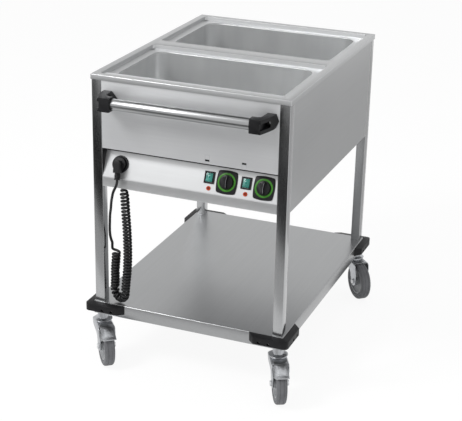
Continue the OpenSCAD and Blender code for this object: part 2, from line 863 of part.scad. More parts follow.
// Angled mains plug with a ribbed strain relief
module plug() {
    face_z = -socket_cavity_deep + seam;
    rib_w = plug_rib_step / 2;
    color("#18181a") on_slope(socket_x, socket_s) rotate([0, 0, plug_turn]) {
        translate([0, 0, face_z]) cylinder(h = plug_head_top - face_z, r = socket_cavity_r - seam);
        translate([0, 0, plug_body_low]) linear_extrude(plug_body_top - plug_body_low) {
            circle(plug_body_r);
            translate([-plug_body_w / 2, -plug_body_y]) square([plug_body_w, plug_body_y]);
        }
        for (x = [-1, 1]) {
            translate([x * plug_pin_x, 0, face_z - plug_pin_l]) cylinder(h = plug_pin_l, r = plug_pin_r);
        }
        translate([0, -plug_body_y, plug_axis_z]) rotate([90, 0, 0]) {
            cylinder(h = plug_rib_count * plug_rib_step, r = plug_groove_r);
            for (k = [1:plug_rib_count]) {
                translate([0, 0, k * plug_rib_step - rib_w]) cylinder(h = rib_w, r = plug_rib_r);
            }
        }
    }
}

// Bush that the cord leaves the body through, with its nut inside
module cable_gland() {
    nut_low_h = body_low_h + 2 * sheet;
    color(black) translate([gland_x, gland_y, 0]) difference() {
        union() {
            translate([0, 0, body_low_h - gland_flange_t]) cylinder(h = gland_flange_t, r = gland_flange_r);
            translate([0, 0, body_low_h]) cylinder(h = 2 * sheet + gland_top, r = gland_r);
            translate([0, 0, nut_low_h]) cylinder(h = gland_nut_t, r = gland_flange_r, $fn = 6);
        }
        translate([0, 0, body_low_h - gland_flange_t - cut])
            cylinder(h = cord_d + cut, r = cord_d / 2 + move_gap);
    }
}

// Cords

function unit(v) = v / norm(v);
function smooth(t) = t <= 0 ? 0 : t >= 1 ? 1 : t * t * (3 - 2 * t);

// Triangles of a closed tube of so many rings and sides
function tube_faces(rings, sides) = concat(
    [for (j = [1:sides - 2]) [0, j, j + 1]],
    [for (i = [0:rings - 2], j = [0:sides - 1], half = [0, 1]) let (
        a = i * sides + j, b = i * sides + (j + 1) % sides)
        half == 0 ? [a, b + sides, b] : [a, a + sides, b + sides]],
    [for (j = [1:sides - 2]) let (base = (rings - 1) * sides) [base, base + j + 1, base + j]]);

// A point of the smooth curve through a list, t from 0 to 1 between items i and i + 1
function on_curve(p, i, t) = let (
    a = p[max(i - 1, 0)], b = p[i], c = p[i + 1], d = p[min(i + 2, len(p) - 1)])
    0.5 * (2 * b + (c - a) * t + (2 * a - 5 * b + 4 * c - d) * t * t + (3 * b - a - 3 * c + d) * t * t * t);

// The curly cord's axis, sampled and measured along its length
curl_steps = 12;
axis_points = concat(
    [for (i = [0:len(curl_axis) - 2], k = [0:curl_steps - 1]) on_curve(curl_axis, i, k / curl_steps)],
    [curl_axis[len(curl_axis) - 1]]);
axis_at = [for (i = 0, s = 0; i < len(axis_points);
    s = s + norm(axis_points[min(i + 1, len(axis_points) - 1)] - axis_points[i]), i = i + 1) s];
axis_length = axis_at[len(axis_at) - 1];
axis_xs = [for (i = [0:len(axis_at) - 1]) [axis_at[i], axis_points[i][0]]];
axis_ys = [for (i = [0:len(axis_at) - 1]) [axis_at[i], axis_points[i][1]]];
axis_zs = [for (i = [0:len(axis_at) - 1]) [axis_at[i], axis_points[i][2]]];
function axis_point(s) = [lookup(s, axis_xs), lookup(s, axis_ys), lookup(s, axis_zs)];
function axis_way(s) = let (m = max(0, min(s, axis_length)))
    unit(axis_point(min(m + curl_feel, axis_length)) - axis_point(max(m - curl_feel, 0)));

// How sharply the axis bends, 1 at the round bend and 0 on a straight run
function axis_bend(s) = let (turn = norm(axis_way(s + curl_feel) - axis_way(s - curl_feel)))
    min(1, curl_bend_r * turn / curl_feel / 2);

// The direction to the inner side of the axis's bend, none on a straight run
function axis_inner(s) = let (turn = axis_way(s + curl_feel) - axis_way(s - curl_feel))
    norm(turn) > 0 ? turn / norm(turn) : [0, 0, 0];

// Curls up to each sample of the axis: they hang a little apart at the top and lie closer below
curl_wides = [for (s = axis_at) lookup(s / axis_length, curl_pitches)];
curl_sums = [for (i = 0, n = 0; i < len(axis_at);
    n = n + (axis_at[min(i + 1, len(axis_at) - 1)] - axis_at[i]) / curl_wides[i], i = i + 1) n];
curl_scale = curl_count / curl_sums[len(curl_sums) - 1];
curl_lengths = [for (i = [0:len(axis_at) - 1]) [curl_sums[i] * curl_scale, axis_at[i]]];

// Centre line of the curly cord after n curls. In the bend every other curl is drawn in on its inner side.
curl_r = (curl_d - cord_d) / 2;
function curl_side(n) = let (
    way = axis_way(lookup(n, curl_lengths)),
    back = unit([0, 1, 0] - way[1] * way))
    cos(360 * n) * back + sin(360 * n) * cross(way, back);
function curl_reach(n) = let (
    inward = sqrt(max(0, curl_side(n) * axis_inner(lookup(n, curl_lengths)))),
    drawn = curl_in_rs[floor(n + curl_turn_share) % 2])
    smooth(n) * (curl_r - axis_bend(lookup(n, curl_lengths)) * inward * (curl_r - drawn));
function curl_centre(n) = axis_point(lookup(n, curl_lengths)) + curl_reach(n) * curl_side(n);

// All centres: one straight diameter, the curls, a quarter turn upwards, one straight diameter
curl_top = curl_axis[0] + [0, 0, gland_end_h - curl_axis[0][2]];
curl_end = curl_centre(curl_count);
curl_end_way = unit(curl_end - curl_centre(curl_count - 1 / curl_rings));
curl_pull_out = curl_end + curl_leave_pull * curl_end_way;
curl_pull_in = curl_leave - [0, 0, curl_leave_pull];
curl_leave_rings = 4;
function curl_leaving(t) = pow(1 - t, 3) * curl_end + 3 * pow(1 - t, 2) * t * curl_pull_out
    + 3 * (1 - t) * t * t * curl_pull_in + t * t * t * curl_leave;
curl_centres = concat([curl_top],
    [for (i = [0:curl_count * curl_rings]) curl_centre(i / curl_rings)],
    [for (i = [1:curl_leave_rings]) curl_leaving(i / curl_leave_rings)],
    [curl_leave + [0, 0, cord_d]]);

// One ring of a cord's tube about the line through its neighbours
function cord_ring(p, i, r, sides, side) = let (
    way = unit(p[min(i + 1, len(p) - 1)] - p[max(i - 1, 0)]),
    e1 = unit(side - (side * way) * way),
    e2 = cross(way, e1))
    [for (j = [0:sides - 1]) p[i] + r * (cos(360 * j / sides) * e1 + sin(360 * j / sides) * e2)];

// A cord's end rings lie square to what they meet, so they take the straight run's own direction
function end_ring(centre, way, r, sides, side) = let (
    e1 = unit(side - (side * way) * way),
    e2 = cross(way, e1))
    [for (j = [0:sides - 1]) centre + r * (cos(360 * j / sides) * e1 + sin(360 * j / sides) * e2)];

// Curly cord from the gland to its upper left end
module curly_cord() {
    last = len(curl_centres) - 1;
    down = [0, 0, -1];
    points = [for (i = [0:last]) each
        i <= 1 ? end_ring(curl_centres[i], down, cord_d / 2, curl_sides, curl_side(0)) :
        i >= last - 1 ? end_ring(curl_centres[i], -down, cord_d / 2, curl_sides, [-1, 0, 0]) :
        cord_ring(curl_centres, i, cord_d / 2, curl_sides, curl_side(min((i - 1) / curl_rings, curl_count)))];
    color(black) polyhedron(points, tube_faces(last + 1, curl_sides));
}

// The least gap between curls, on a few points to each step, for points well apart along the cord
gap_steps = 3;
gap_apart = 3 * cord_d;
gap_points = [for (i = [0:len(curl_centres) - 2], k = [0:gap_steps - 1])
    curl_centres[i] + (curl_centres[i + 1] - curl_centres[i]) * k / gap_steps];
gap_along = [for (i = 0, s = 0; i < len(gap_points);
    s = s + norm(gap_points[min(i + 1, len(gap_points) - 1)] - gap_points[i]), i = i + 1) s];
gap_count = len(gap_points);
curl_gaps = [for (i = [0:gap_count - 1])
    min(concat([curl_d], [for (j = [i + 1:gap_count - 1]) if (gap_along[j] - gap_along[i] > gap_apart)
        norm(gap_points[i] - gap_points[j])])) - cord_d];
curl_gap = min(curl_gaps);
echo(least_gap_of_the_curly_cord_to_itself = curl_gap);

// Place and direction where the cord leaves the plug
slope_out = [0, -cos(slope), sin(slope)];
slope_up = [0, sin(slope), cos(slope)];
plug_long = plug_body_y + plug_rib_count * plug_rib_step;
plug_way = [sin(plug_turn), 0, 0] - cos(plug_turn) * slope_up;
plug_end = [socket_x, -half_d, bend_h] + socket_s * slope_up + plug_axis_z * slope_out
    + plug_long * plug_way;
cord_points = concat([plug_end, plug_end + cord_d * plug_way], cord_route,
    [curl_leave + [0, 0, 2 * cord_d], curl_leave + [0, 0, cord_d]]);

// Straight stretch of the cord, one tube from the plug to the curls
module straight_cord() {
    last = len(cord_points) - 1;
    side = [1, 0, 0];
    points = [for (i = [0:last]) each
        i == 0 ? end_ring(cord_points[0], plug_way, cord_d / 2, cord_sides, side) :
        i == last ? end_ring(cord_points[last], [0, 0, -1], cord_d / 2, cord_sides, side) :
        cord_ring(cord_points, i, cord_d / 2, cord_sides, side)];
    color(black) polyhedron(points, tube_faces(last + 1, cord_sides));
}
cord_along = [for (i = 0, s = 0; i < len(cord_points);
    s = s + norm(cord_points[min(i + 1, len(cord_points) - 1)] - cord_points[i]), i = i + 1) s];
echo(straight_cord_length = cord_along[len(cord_along) - 1]);
echo(curly_cord_length = gap_along[gap_count - 1]);

// Castors

fork_half_w = 22.5;
fork_wide_half_w = 26;
fork_side_share = [[-0.714, 1], [1.048, 1], [1.333, 0.935], [1.429, 0.728]];
fork_back_share = [[0.238, 0.728], [-0.619, 0.858], [-0.714, 0.935]];
fork_bend_share = [0.674, 0.828];
fork_edge = 4;
dropout_r = 15;
axle_head_t = 5.4;
axle_head_r = 8.5;
pedal_pivot_t = 52;
pedal_pivot_drop = 10.5;
pedal_pin_r = 2;
pedal_w = 41;
pedal_sheet = 2.5;

// The fork's bent section: two cheeks that widen upwards to the crown
module fork_section(inset) {
    x1 = fork_half_w - inset;
    x2 = fork_wide_half_w - inset;
    edge = fork_edge - inset;
    top = crown_h - inset;
    polygon([[-x1, 0], [x1, 0], [x1, fork_bend_share[0] * crown_h], [x2, fork_bend_share[1] * crown_h],
        [x2, top - edge], [x2 - edge, top], [edge - x2, top], [-x2, top - edge],
        [-x2, fork_bend_share[1] * crown_h], [-x1, fork_bend_share[0] * crown_h]]);
}

// The fork seen from its side, round at the axle
module fork_profile() {
    translate([trail, wheel_r]) circle(dropout_r);
    polygon(concat(
        [for (p = fork_side_share) [p[0] * trail, p[1] * crown_h]],
        [[trail + dropout_r, wheel_r], [trail - dropout_r, wheel_r]],
        [for (p = fork_back_share) [p[0] * trail, p[1] * crown_h]]));
}

// Swivel fork with its raceway, kingpin bore, axle bores and, with a brake, the pedal's pivot bores
module fork(i, braked) {
    long = 4 * trail;
    color(zinc) at_castor(i) difference() {
        union() {
            intersection() {
                rotate([90, 0, 90]) linear_extrude(long, center = true) difference() {
                    fork_section(0);
                    fork_section(fork_sheet);
                }
                across(long) fork_profile();
            }
            translate([0, 0, crown_h]) cylinder(h = race_t, r = race_r);
        }
        translate([0, 0, crown_under_h - cut])
            cylinder(h = fork_sheet + race_t + 2 * cut, r = kingpin_d / 2 + run_gap);
        translate([trail, 0, wheel_r]) rotate([90, 0, 0])
            cylinder(h = long, r = axle_d / 2 + fit_gap, center = true);
        if (braked) {
            translate([pedal_pivot_t, 0, crown_h - pedal_pivot_drop]) rotate([90, 0, 0])
                cylinder(h = long, r = pedal_pin_r + run_gap, center = true);
        }
    }
}

// Axle bolt with its head and nut outside the cheeks
module axle(i) {
    out = fork_half_w + fit_gap;
    color("Gray") at_castor(i) translate([trail, 0, wheel_r]) rotate([90, 0, 0]) {
        cylinder(h = 2 * out, r = axle_d / 2, center = true);
        for (s = [-1, 1]) {
            translate([0, 0, s * (out + axle_head_t / 2)])
                cylinder(h = axle_head_t, r = axle_head_r, center = true, $fn = 6);
        }
    }
}

hub_r = 44;
hub_boss_r = 13;
hub_boss_half = 19;
hub_web_half = 7;
hub_rim_t = 5;
hub_rim_half_share = 0.86;

// Wheel centre: boss, web and rim turned in one piece, with the axle bore
module hub(i) {
    rim_half = tyre_w / 2 * hub_rim_half_share;
    bore_r = axle_d / 2 + run_gap;
    color("DarkGray") at_castor(i) translate([trail, 0, wheel_r]) rotate([90, 0, 0]) rotate_extrude() {
        translate([bore_r, -hub_boss_half]) square([hub_boss_r - bore_r, 2 * hub_boss_half]);
        translate([bore_r, -hub_web_half]) square([hub_r - bore_r, 2 * hub_web_half]);
        translate([hub_r - hub_rim_t, -rim_half]) square([hub_rim_t, 2 * rim_half]);
    }
}

tyre_edge = 6;

// Tyre with round shoulders
module tyre(i) {
    in_r = hub_r + fit_gap;
    color("Gray") at_castor(i) translate([trail, 0, wheel_r]) rotate([90, 0, 0])
        rotate_extrude() intersection() {
            translate([in_r, -tyre_w / 2]) square([wheel_r - in_r, tyre_w]);
            translate([in_r, 0]) round_rect(2 * (wheel_r - in_r), tyre_w, tyre_edge);
        }
}

// Fixed part of each castor: expander in the leg, neck, domed cap, kingpin and its head
module castor_fittings() {
    pin_low_h = crown_under_h - move_gap;
    color(zinc) for (i = [0:3]) {
        at_corner(i) {
            rotate_extrude() polygon([[0, rim_h], [rim_r, rim_h], [rim_r, rim_h + rim_t],
                [neck_r, rim_h + dome_t], [neck_r, foot_h], [0, foot_h]]);
            translate([0, 0, pin_low_h]) cylinder(h = rim_h - pin_low_h, r = kingpin_d / 2);
            translate([0, 0, pin_low_h - kingpin_head_t]) cylinder(h = kingpin_head_t, r = kingpin_head_r);
            translate([-stem_side / 2, -stem_side / 2, foot_h]) cube([stem_side, stem_side, stem_l]);
        }
    }
}

pedal_top_share = [[0.857, 1.038], [1.381, 1.0115], [2.143, 0.851], [2.333, 0.828]];
ear_half = 3.4;
ear_t = 2.5;
pad_w = 20;
pad_l = 28;
pad_t = 1;

// Brake pedal: a bent plate with two ears that turn on trunnions in the fork's cheeks
module brake_pedal(i) {
    top = [for (p = pedal_top_share) [p[0] * trail, p[1] * crown_h]];
    pivot_h = crown_h - pedal_pivot_drop;
    ear_low_h = pivot_h - ear_half;
    ear_top_h = top[1][1] - pedal_sheet / 2;
    fall = atan2(top[1][1] - top[2][1], top[2][0] - top[1][0]);
    color(zinc) at_castor(i) {
        across(pedal_w) polygon(concat(top, [for (k = [len(top) - 1:-1:0]) top[k] - [0, pedal_sheet]]));
        for (s = [-1, 1]) {
            translate([pedal_pivot_t, s * (pedal_w - ear_t) / 2, (ear_top_h + ear_low_h) / 2])
                cube([2 * ear_half, ear_t, ear_top_h - ear_low_h], center = true);
            translate([pedal_pivot_t, s * (pedal_w / 2 + fork_wide_half_w) / 2, pivot_h]) rotate([90, 0, 0])
                cylinder(h = fork_wide_half_w - pedal_w / 2, r = pedal_pin_r, center = true);
        }
        translate([(top[1][0] + top[2][0]) / 2, 0, (top[1][1] + top[2][1]) / 2]) rotate([0, fall, 0])
            translate([-pad_l / 2, -pad_w / 2, -pad_t]) cube([pad_l, pad_w, 2 * pad_t]);
    }
}

top_plate();
well(-1);  // front_well
well(1);  // rear_well
front_panel();
side_panel(-1);  // left_panel
side_panel(1);  // right_panel
back_panel();
control_panel();
bottom_cover();
leg(0);  // leg_front_left
leg(1);  // leg_front_right
leg(2);  // leg_rear_left
leg(3);  // leg_rear_right
bottom_shelf();
bumper(0);  // bumper_front_left
bumper(1);  // bumper_front_right
bumper(2);  // bumper_rear_left
bumper(3);  // bumper_rear_right
bumper_screws();
handle_tube();
handle_bracket(-1);  // handle_bracket_left
handle_bracket(1);  // handle_bracket_right
handle_screws();
switch_frame(0);  // switch_frame_front
switch_frame(1);  // switch_frame_rear
rocker(0);  // rocker_front
rocker(1);  // rocker_rear
pilot_lamps();
thermostat_plate(0);  // thermostat_plate_front
thermostat_plate(1);  // thermostat_plate_rear
dial_rings();
knob(0);  // knob_front
knob(1);  // knob_rear
thermostat_bodies();
heating_elements();
terminal_block();
parking_socket();
plug();
straight_cord();
curly_cord();
cable_gland();
castor_fittings();
fork(0, true);  // fork_front_left
fork(1, true);  // fork_front_right
fork(2, false);  // fork_rear_left
fork(3, false);  // fork_rear_right
axle(0);  // axle_front_left
axle(1);  // axle_front_right
axle(2);  // axle_rear_left
axle(3);  // axle_rear_right
hub(0);  // hub_front_left
hub(1);  // hub_front_right
hub(2);  // hub_rear_left
hub(3);  // hub_rear_right
tyre(0);  // tyre_front_left
tyre(1);  // tyre_front_right
tyre(2);  // tyre_rear_left
tyre(3);  // tyre_rear_right
brake_pedal(0);  // brake_pedal_left
brake_pedal(1);  // brake_pedal_right
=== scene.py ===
"""Heated two-well serving trolley: looks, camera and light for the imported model, in millimetres."""
import json
import math

import bmesh
import bpy
import numpy as np
from mathutils import Matrix, Vector


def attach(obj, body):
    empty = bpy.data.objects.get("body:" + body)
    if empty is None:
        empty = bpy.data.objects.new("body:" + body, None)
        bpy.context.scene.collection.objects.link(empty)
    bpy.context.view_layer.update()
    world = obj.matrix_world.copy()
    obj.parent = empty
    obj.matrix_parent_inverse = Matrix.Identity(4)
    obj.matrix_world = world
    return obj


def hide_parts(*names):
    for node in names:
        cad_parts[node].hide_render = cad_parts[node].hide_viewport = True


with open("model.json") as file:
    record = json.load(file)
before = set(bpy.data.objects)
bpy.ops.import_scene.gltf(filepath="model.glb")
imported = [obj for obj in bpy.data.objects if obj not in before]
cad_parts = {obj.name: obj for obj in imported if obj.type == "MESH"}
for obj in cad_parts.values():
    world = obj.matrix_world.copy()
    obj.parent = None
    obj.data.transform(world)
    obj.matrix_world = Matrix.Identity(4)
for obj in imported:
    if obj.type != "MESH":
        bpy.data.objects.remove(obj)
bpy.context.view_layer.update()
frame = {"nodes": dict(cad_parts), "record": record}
BODY_OF = {n: b for b, names in frame["record"]["behaviour"]["bodies"].items() for n in names}
MM = 0.001
NEAR = 0.1  # two heights this close count as the same
SHARP = 40  # an edge that bends more than this, in degrees, isn't part of a rounding
FACING = 0.9  # a direction counts as along an axis when this much of it is

# Sheet of the panels and the top, of the wells, and of the slanted panel, the shelf and the legs
SHEET, PAN_SHEET, HEAVY_SHEET = 1.2, 1.0, 1.5

# Body: half its width and depth, its square legs, which begin at the shelf's lower edge, and the gap
# between a leg and a panel
HALF_W, HALF_D, BODY_LOW, PANEL_TOP = 300.0, 400.0, 575.0, 908.5
LEG_W, LEG_LOW, LEG_TOP, SEAM = 30.0, 160.0, 896.5, 0.3
LEG_X, LEG_Y = HALF_W - LEG_W / 2, HALF_D - LEG_W / 2
PANEL_X, PANEL_Y = HALF_W - LEG_W - SEAM, HALF_D - LEG_W - SEAM

# Front: lower edge of the upright panel, and the slanted panel below it
FRONT_LOW, SLANT_LOW, SLANT_RISE = 692.0, 605.0, 86.7
SLOPE = math.radians(22.7)
SLOPE_UP = Vector((0, math.sin(SLOPE), math.cos(SLOPE)))
SLOPE_OUT = Vector((0, -math.cos(SLOPE), math.sin(SLOPE)))


# Camera

def set_camera():
    """The photograph's viewpoint: a long lens, a little above the top and right of the handle."""
    yaw, pitch, roll = 0.3749, 0.3824, 0.0213
    place = Vector((1.3721, -3.5463, 1.925))
    ahead = Vector((-math.sin(yaw) * math.cos(pitch), math.cos(yaw) * math.cos(pitch), -math.sin(pitch)))
    right = ahead.cross(Vector((0, 0, 1))).normalized()
    up = right.cross(ahead)
    right, up = math.cos(roll) * right + math.sin(roll) * up, math.cos(roll) * up - math.sin(roll) * right
    cam = bpy.data.cameras.new("camera")
    cam.sensor_width = 36
    cam.lens = 100.86
    cam.clip_end = 50
    obj = bpy.data.objects.new("camera", cam)
    bpy.context.scene.collection.objects.link(obj)
    turn = Matrix((right, up, -ahead)).transposed().to_4x4()
    obj.matrix_world = Matrix.Translation(place) @ turn
    bpy.context.scene.camera = obj


set_camera()


# Finishes

def srgb(code):
    """A hex colour as linear RGBA."""
    parts = [int(code[i:i + 2], 16) / 255 for i in (1, 3, 5)]
    return (*[c / 12.92 if c <= 0.04045 else ((c + 0.055) / 1.055) ** 2.4 for c in parts], 1)


def put(tree, kind, settings=None, **inputs):
    """Adds a shader node. An input given as a socket is linked, any other is set."""
    made = tree.nodes.new(kind)
    for key, value in (settings or {}).items():
        setattr(made, key, value)
    for key, value in inputs.items():
        socket = made.inputs[int(key[1:]) if key[1:].isdigit() else key.replace("_", " ")]
        if isinstance(value, bpy.types.NodeSocket):
            tree.links.new(value, socket)
        else:
            socket.default_value = value
    return made


def finish(name):
    """A new material with an empty tree, and the place on the piece that its patterns follow."""
    mat = bpy.data.materials.new(name)
    mat.use_nodes = True
    tree = mat.node_tree
    tree.nodes.clear()
    return mat, tree, put(tree, "ShaderNodeTexCoord").outputs["Object"]


WIPE_MARK, HANDLING_MARK = 150, 45


def steel(name, light, dark, rough, grain, swing=0.05, depth=0.01, metallic=1.0):
    """Stainless sheet or tube. grain is a brushed line's size along X, Y and Z, with its width drawn at
    7 mm, because the real 0.1 mm lines are too fine to show. Slow clouds stand for wiping marks."""
    mat, tree, place = finish(name)
    lines = put(tree, "ShaderNodeMapping", Vector=place, Scale=[1 / (g * MM) for g in grain]).outputs[0]
    fine = put(tree, "ShaderNodeTexNoise", Vector=lines, Scale=1.0, Detail=2.0).outputs[0]
    cloud = put(tree, "ShaderNodeTexNoise", Vector=place, Scale=1 / (WIPE_MARK * MM), Detail=2.0).outputs[0]
    mixed = put(tree, "ShaderNodeMix", i0=0.5, i2=fine, i3=cloud).outputs[0]
    level = put(tree, "ShaderNodeMapRange", {"interpolation_type": "SMOOTHSTEP"}, Value=mixed, From_Min=0.2,
                From_Max=0.8).outputs[0]
    colour = put(tree, "ShaderNodeMix", {"data_type": "RGBA"}, i0=level, i6=srgb(dark),
                 i7=srgb(light)).outputs[2]
    gloss = put(tree, "ShaderNodeMapRange", {"interpolation_type": "SMOOTHSTEP"}, Value=cloud, From_Min=0.1,
                From_Max=0.9, To_Min=rough - swing, To_Max=rough + swing).outputs[0]
    shader = put(tree, "ShaderNodeBsdfPrincipled", Base_Color=colour, Roughness=gloss, Metallic=metallic)
    if depth:
        bump = put(tree, "ShaderNodeBump", Strength=0.3, Distance=depth * MM, Height=fine)
        tree.links.new(bump.outputs[0], shader.inputs["Normal"])
    put(tree, "ShaderNodeOutputMaterial", Surface=shader.outputs[0])
    return mat


def moulded(name, light, dark, rough, grit=1.1, depth=0.06, **fixed):
    """Moulded plastic or rubber. grit is the size of its surface grain, and the clouds are handling
    marks that leave the gloss a little uneven."""
    mat, tree, place = finish(name)
    fine = put(tree, "ShaderNodeTexNoise", Vector=place, Scale=1 / (grit * MM), Detail=2.0).outputs[0]
    cloud = put(tree, "ShaderNodeTexNoise", Vector=place, Scale=1 / (HANDLING_MARK * MM),
                Detail=3.0).outputs[0]
    level = put(tree, "ShaderNodeMapRange", Value=cloud, From_Min=0.3, From_Max=0.7).outputs[0]
    colour = put(tree, "ShaderNodeMix", {"data_type": "RGBA"}, i0=level, i6=srgb(dark),
                 i7=srgb(light)).outputs[2]
    gloss = put(tree, "ShaderNodeMapRange", Value=cloud, From_Min=0.3, From_Max=0.7, To_Min=rough - 0.06,
                To_Max=rough + 0.06).outputs[0]
    bump = put(tree, "ShaderNodeBump", Strength=0.3, Distance=depth * MM, Height=fine).outputs[0]
    shader = put(tree, "ShaderNodeBsdfPrincipled", Base_Color=colour, Roughness=gloss, Normal=bump, **fixed)
    put(tree, "ShaderNodeOutputMaterial", Surface=shader.outputs[0])
    return mat


GRAIN_L, GRAIN_W = 300, 7
ALONG_X = (GRAIN_L, GRAIN_W, GRAIN_W)
ALONG_Y = (GRAIN_W, GRAIN_L, GRAIN_W)
ALONG_Z = (GRAIN_W, GRAIN_W, GRAIN_L)
M = {
    # Cold-rolled stainless sheet under a fine ground finish: pale and satin, with grain across the trolley
    "front": steel("ground stainless front", "#d3d4d5", "#cdced0", 0.46, ALONG_X, 0.02, 0, 0.6),
    # The same sheet on the slanted panel, rubbed smoother, so it takes up more of the bright studio
    # Painted shade: its colour is a little darker than the front's, to hold down the brighter light it takes
    # up
    "panel": steel("ground stainless control panel, painted darker", "#c9cacb", "#c4c5c6", 0.34, ALONG_X, 0.02, 0, 0.7),
    # Side sheets, whose grain runs from front to rear. Painted shade: the same steel as the front, coloured
    # darker for how grey the sides look from the handle end
    "side": steel("ground stainless sides, painted darker", "#aeafb0", "#a9aaab", 0.4, ALONG_Y, 0.03, 0, 0.85),
    # Pressed top, polished on its bends, so its rolled edges catch thin white lines
    "top": steel("ground stainless top", "#b9babb", "#b1b2b3", 0.34, ALONG_X, 0.03, 0),
    # Deep drawn wells, satin all over, with the grain of the drawing up their walls
    "pan": steel("deep drawn stainless", "#e0e1e1", "#d4d5d6", 0.33, (40, 40, 200), 0.05, 0, 0.86),
    # Shelf sheet, which dimly mirrors the legs that stand on it
    "shelf": steel("ground stainless shelf", "#a4a5a6", "#9e9fa0", 0.31, ALONG_Y, 0.03, 0),
    # Bright drawn square tube: its front mirrors the black felt above and the white floor below
    "leg": steel("bright drawn square tube", "#b3b4b5", "#abacad", 0.18, ALONG_Z, 0.03, 0),
    # Ground round tube, satin enough for one soft bright streak along it
    "handle": steel("ground handle tube", "#a0a1a2", "#9c9d9e", 0.29, (300, 40, 40), 0.01, 0),
    # Galvanised sheet, dull and slightly mottled
    "inner": steel("galvanised sheet", "#b4b5b7", "#98999b", 0.5, (25, 25, 25)),
    # Annealed tube, browned by heat and dull
    "heater": steel("annealed heater tube", "#5a5654", "#3e3b3a", 0.5, (5, 5, 5)),
    # Bright zinc over pressed steel, with 16 mm ripples that the press leaves
    "zinc": steel("bright zinc plating", "#bcbec1", "#a4a6a9", 0.3, (16, 16, 16), 0.02, 0.06),
    # Zinc-plated screws and bolts, paler than the forks so that their heads show
    "screw": steel("zinc plated screws", "#e2e3e4", "#cccdcf", 0.4, (2, 2, 2), 0.05, 0.01, 0.6),
    # Moulded rubber of the bumpers, dull and finely grained
    "bumper": moulded("moulded bumper rubber", "#19191b", "#101012", 0.5, Specular_IOR_Level=0.22),
    # Glass-filled nylon of the handle brackets, with a fine spark-eroded grain
    "black": moulded("grained black nylon", "#1c1c1e", "#141416", 0.42, Specular_IOR_Level=0.22),
    # Control plates and switch frames, smoother than the brackets
    "plate": moulded("black control plastic", "#17171a", "#101012", 0.36, Specular_IOR_Level=0.22),
    # Knobs of dark thermoset plastic
    "knob": moulded("dark knob plastic", "#161618", "#0f0f11", 0.34, Specular_IOR_Level=0.22),
    # Pale pointer print along one edge of the knob's grip, which also stands as painted highlight for the
    # light line on that edge
    "pointer_and_highlight": moulded("pale pointer print with painted highlight", "#8d8d90", "#77777a", 0.4),
    # Rubber plug, softer and duller than the panel's plastics
    "plug": moulded("black plug rubber", "#121214", "#0c0c0e", 0.36, Specular_IOR_Level=0.22),
    # Cord sheath, drawn smooth, with a soft shine on each curl
    "cord": moulded("black cord sheath", "#141416", "#0c0c0e", 0.34, 0.7, 0.03, Specular_IOR_Level=0.3),
    # Green print of the dials
    "dial": moulded("green dial print", "#448c28", "#37761f", 0.4, Specular_IOR_Level=0.25),
    # The dials' inner ring round each knob, in a darker green
    "dial_dark": moulded("darker green dial ring", "#1a3f14", "#122d0e", 0.42, Specular_IOR_Level=0.25),
    # Black and pale grey screen print on the front
    "print": moulded("black screen print", "#161618", "#0f0f11", 0.5, Specular_IOR_Level=0.2),
    "pale_print": moulded("pale grey screen print", "#b4b5b7", "#a6a7a9", 0.45),
    # Translucent teal polycarbonate of the rockers, faintly lit from behind by its neon lamp
    "rocker": moulded("teal polycarbonate", "#188074", "#11665c", 0.2, Coat_Weight=0.2,
                      Emission_Color=srgb("#1f9484"), Emission_Strength=0.05),
    # The thinner middle of the rockers, where more of that lamp comes through
    "rocker_window": moulded("pale teal window", "#2f9688", "#268477", 0.2, Coat_Weight=0.2),
    # Orange-red polycarbonate lenses of the unlit pilot lamps
    "lamp": moulded("orange lamp lens", "#cc4a18", "#ac380e", 0.3, Specular_IOR_Level=0.3),
    # The dark lamp seen through the lens's crown
    "lamp_centre": moulded("brown lamp crown", "#7c2a14", "#64200e", 0.25, Specular_IOR_Level=0.3),
    # Grey non-marking rubber, scuffed on the tread
    "tyre": moulded("grey non-marking rubber", "#737477", "#5d5e61", 0.62, 6.0, 0.2),
    # Grey polypropylene wheel centre
    "hub": moulded("grey polypropylene", "#a2a4a6", "#909294", 0.45),
    # Pale insulating plastic inside the body
    "ivory": moulded("pale insulating plastic", "#d9d2c0", "#c9c1ad", 0.5),
}


# Modelling steps

def leave():
    """Back to object mode with nothing selected."""
    if bpy.context.view_layer.objects.active and bpy.context.view_layer.objects.active.mode != "OBJECT":
        bpy.ops.object.mode_set(mode="OBJECT")
    bpy.ops.object.select_all(action="DESELECT")


def hold(obj):
    """Makes one piece the only selected and active one."""
    leave()
    obj.select_set(True)
    bpy.context.view_layer.objects.active = obj


def pick(obj, kind, test):
    """Opens a piece and selects the faces, edges or points that pass a test of middle, direction, bend."""
    if obj.mode != "EDIT":
        hold(obj)
        bpy.ops.object.mode_set(mode="EDIT")
    bpy.ops.mesh.select_mode(type=kind)
    bpy.ops.mesh.select_all(action="DESELECT")
    bm = bmesh.from_edit_mesh(obj.data)
    for item in {"FACE": bm.faces, "EDGE": bm.edges, "VERT": bm.verts}[kind]:
        if kind == "FACE":
            found = test(item.calc_center_median() / MM, item.normal, 0)
        elif kind == "EDGE":
            one, two = (v.co for v in item.verts)
            bend = item.calc_face_angle(0) if len(item.link_faces) == 2 else 0
            found = test((one + two) / 2 / MM, (two - one).normalized(), math.degrees(bend))
        else:
            found = test(item.co / MM, None, 0)
        item.select_set(bool(found))
    bm.select_flush_mode()
    bmesh.update_edit_mesh(obj.data)


def round_edges(obj, width, segments, test, clamp=False):
    """Rounds the edges that pass the test."""
    pick(obj, "EDGE", test)
    bpy.ops.mesh.bevel(offset=width * MM, offset_type="OFFSET", segments=segments, profile=0.5,
                       affect="EDGES", clamp_overlap=clamp, miter_outer="ARC")


def upright(mid, way, bend):
    """A test for upright edges."""
    return abs(way.z) > 0.95


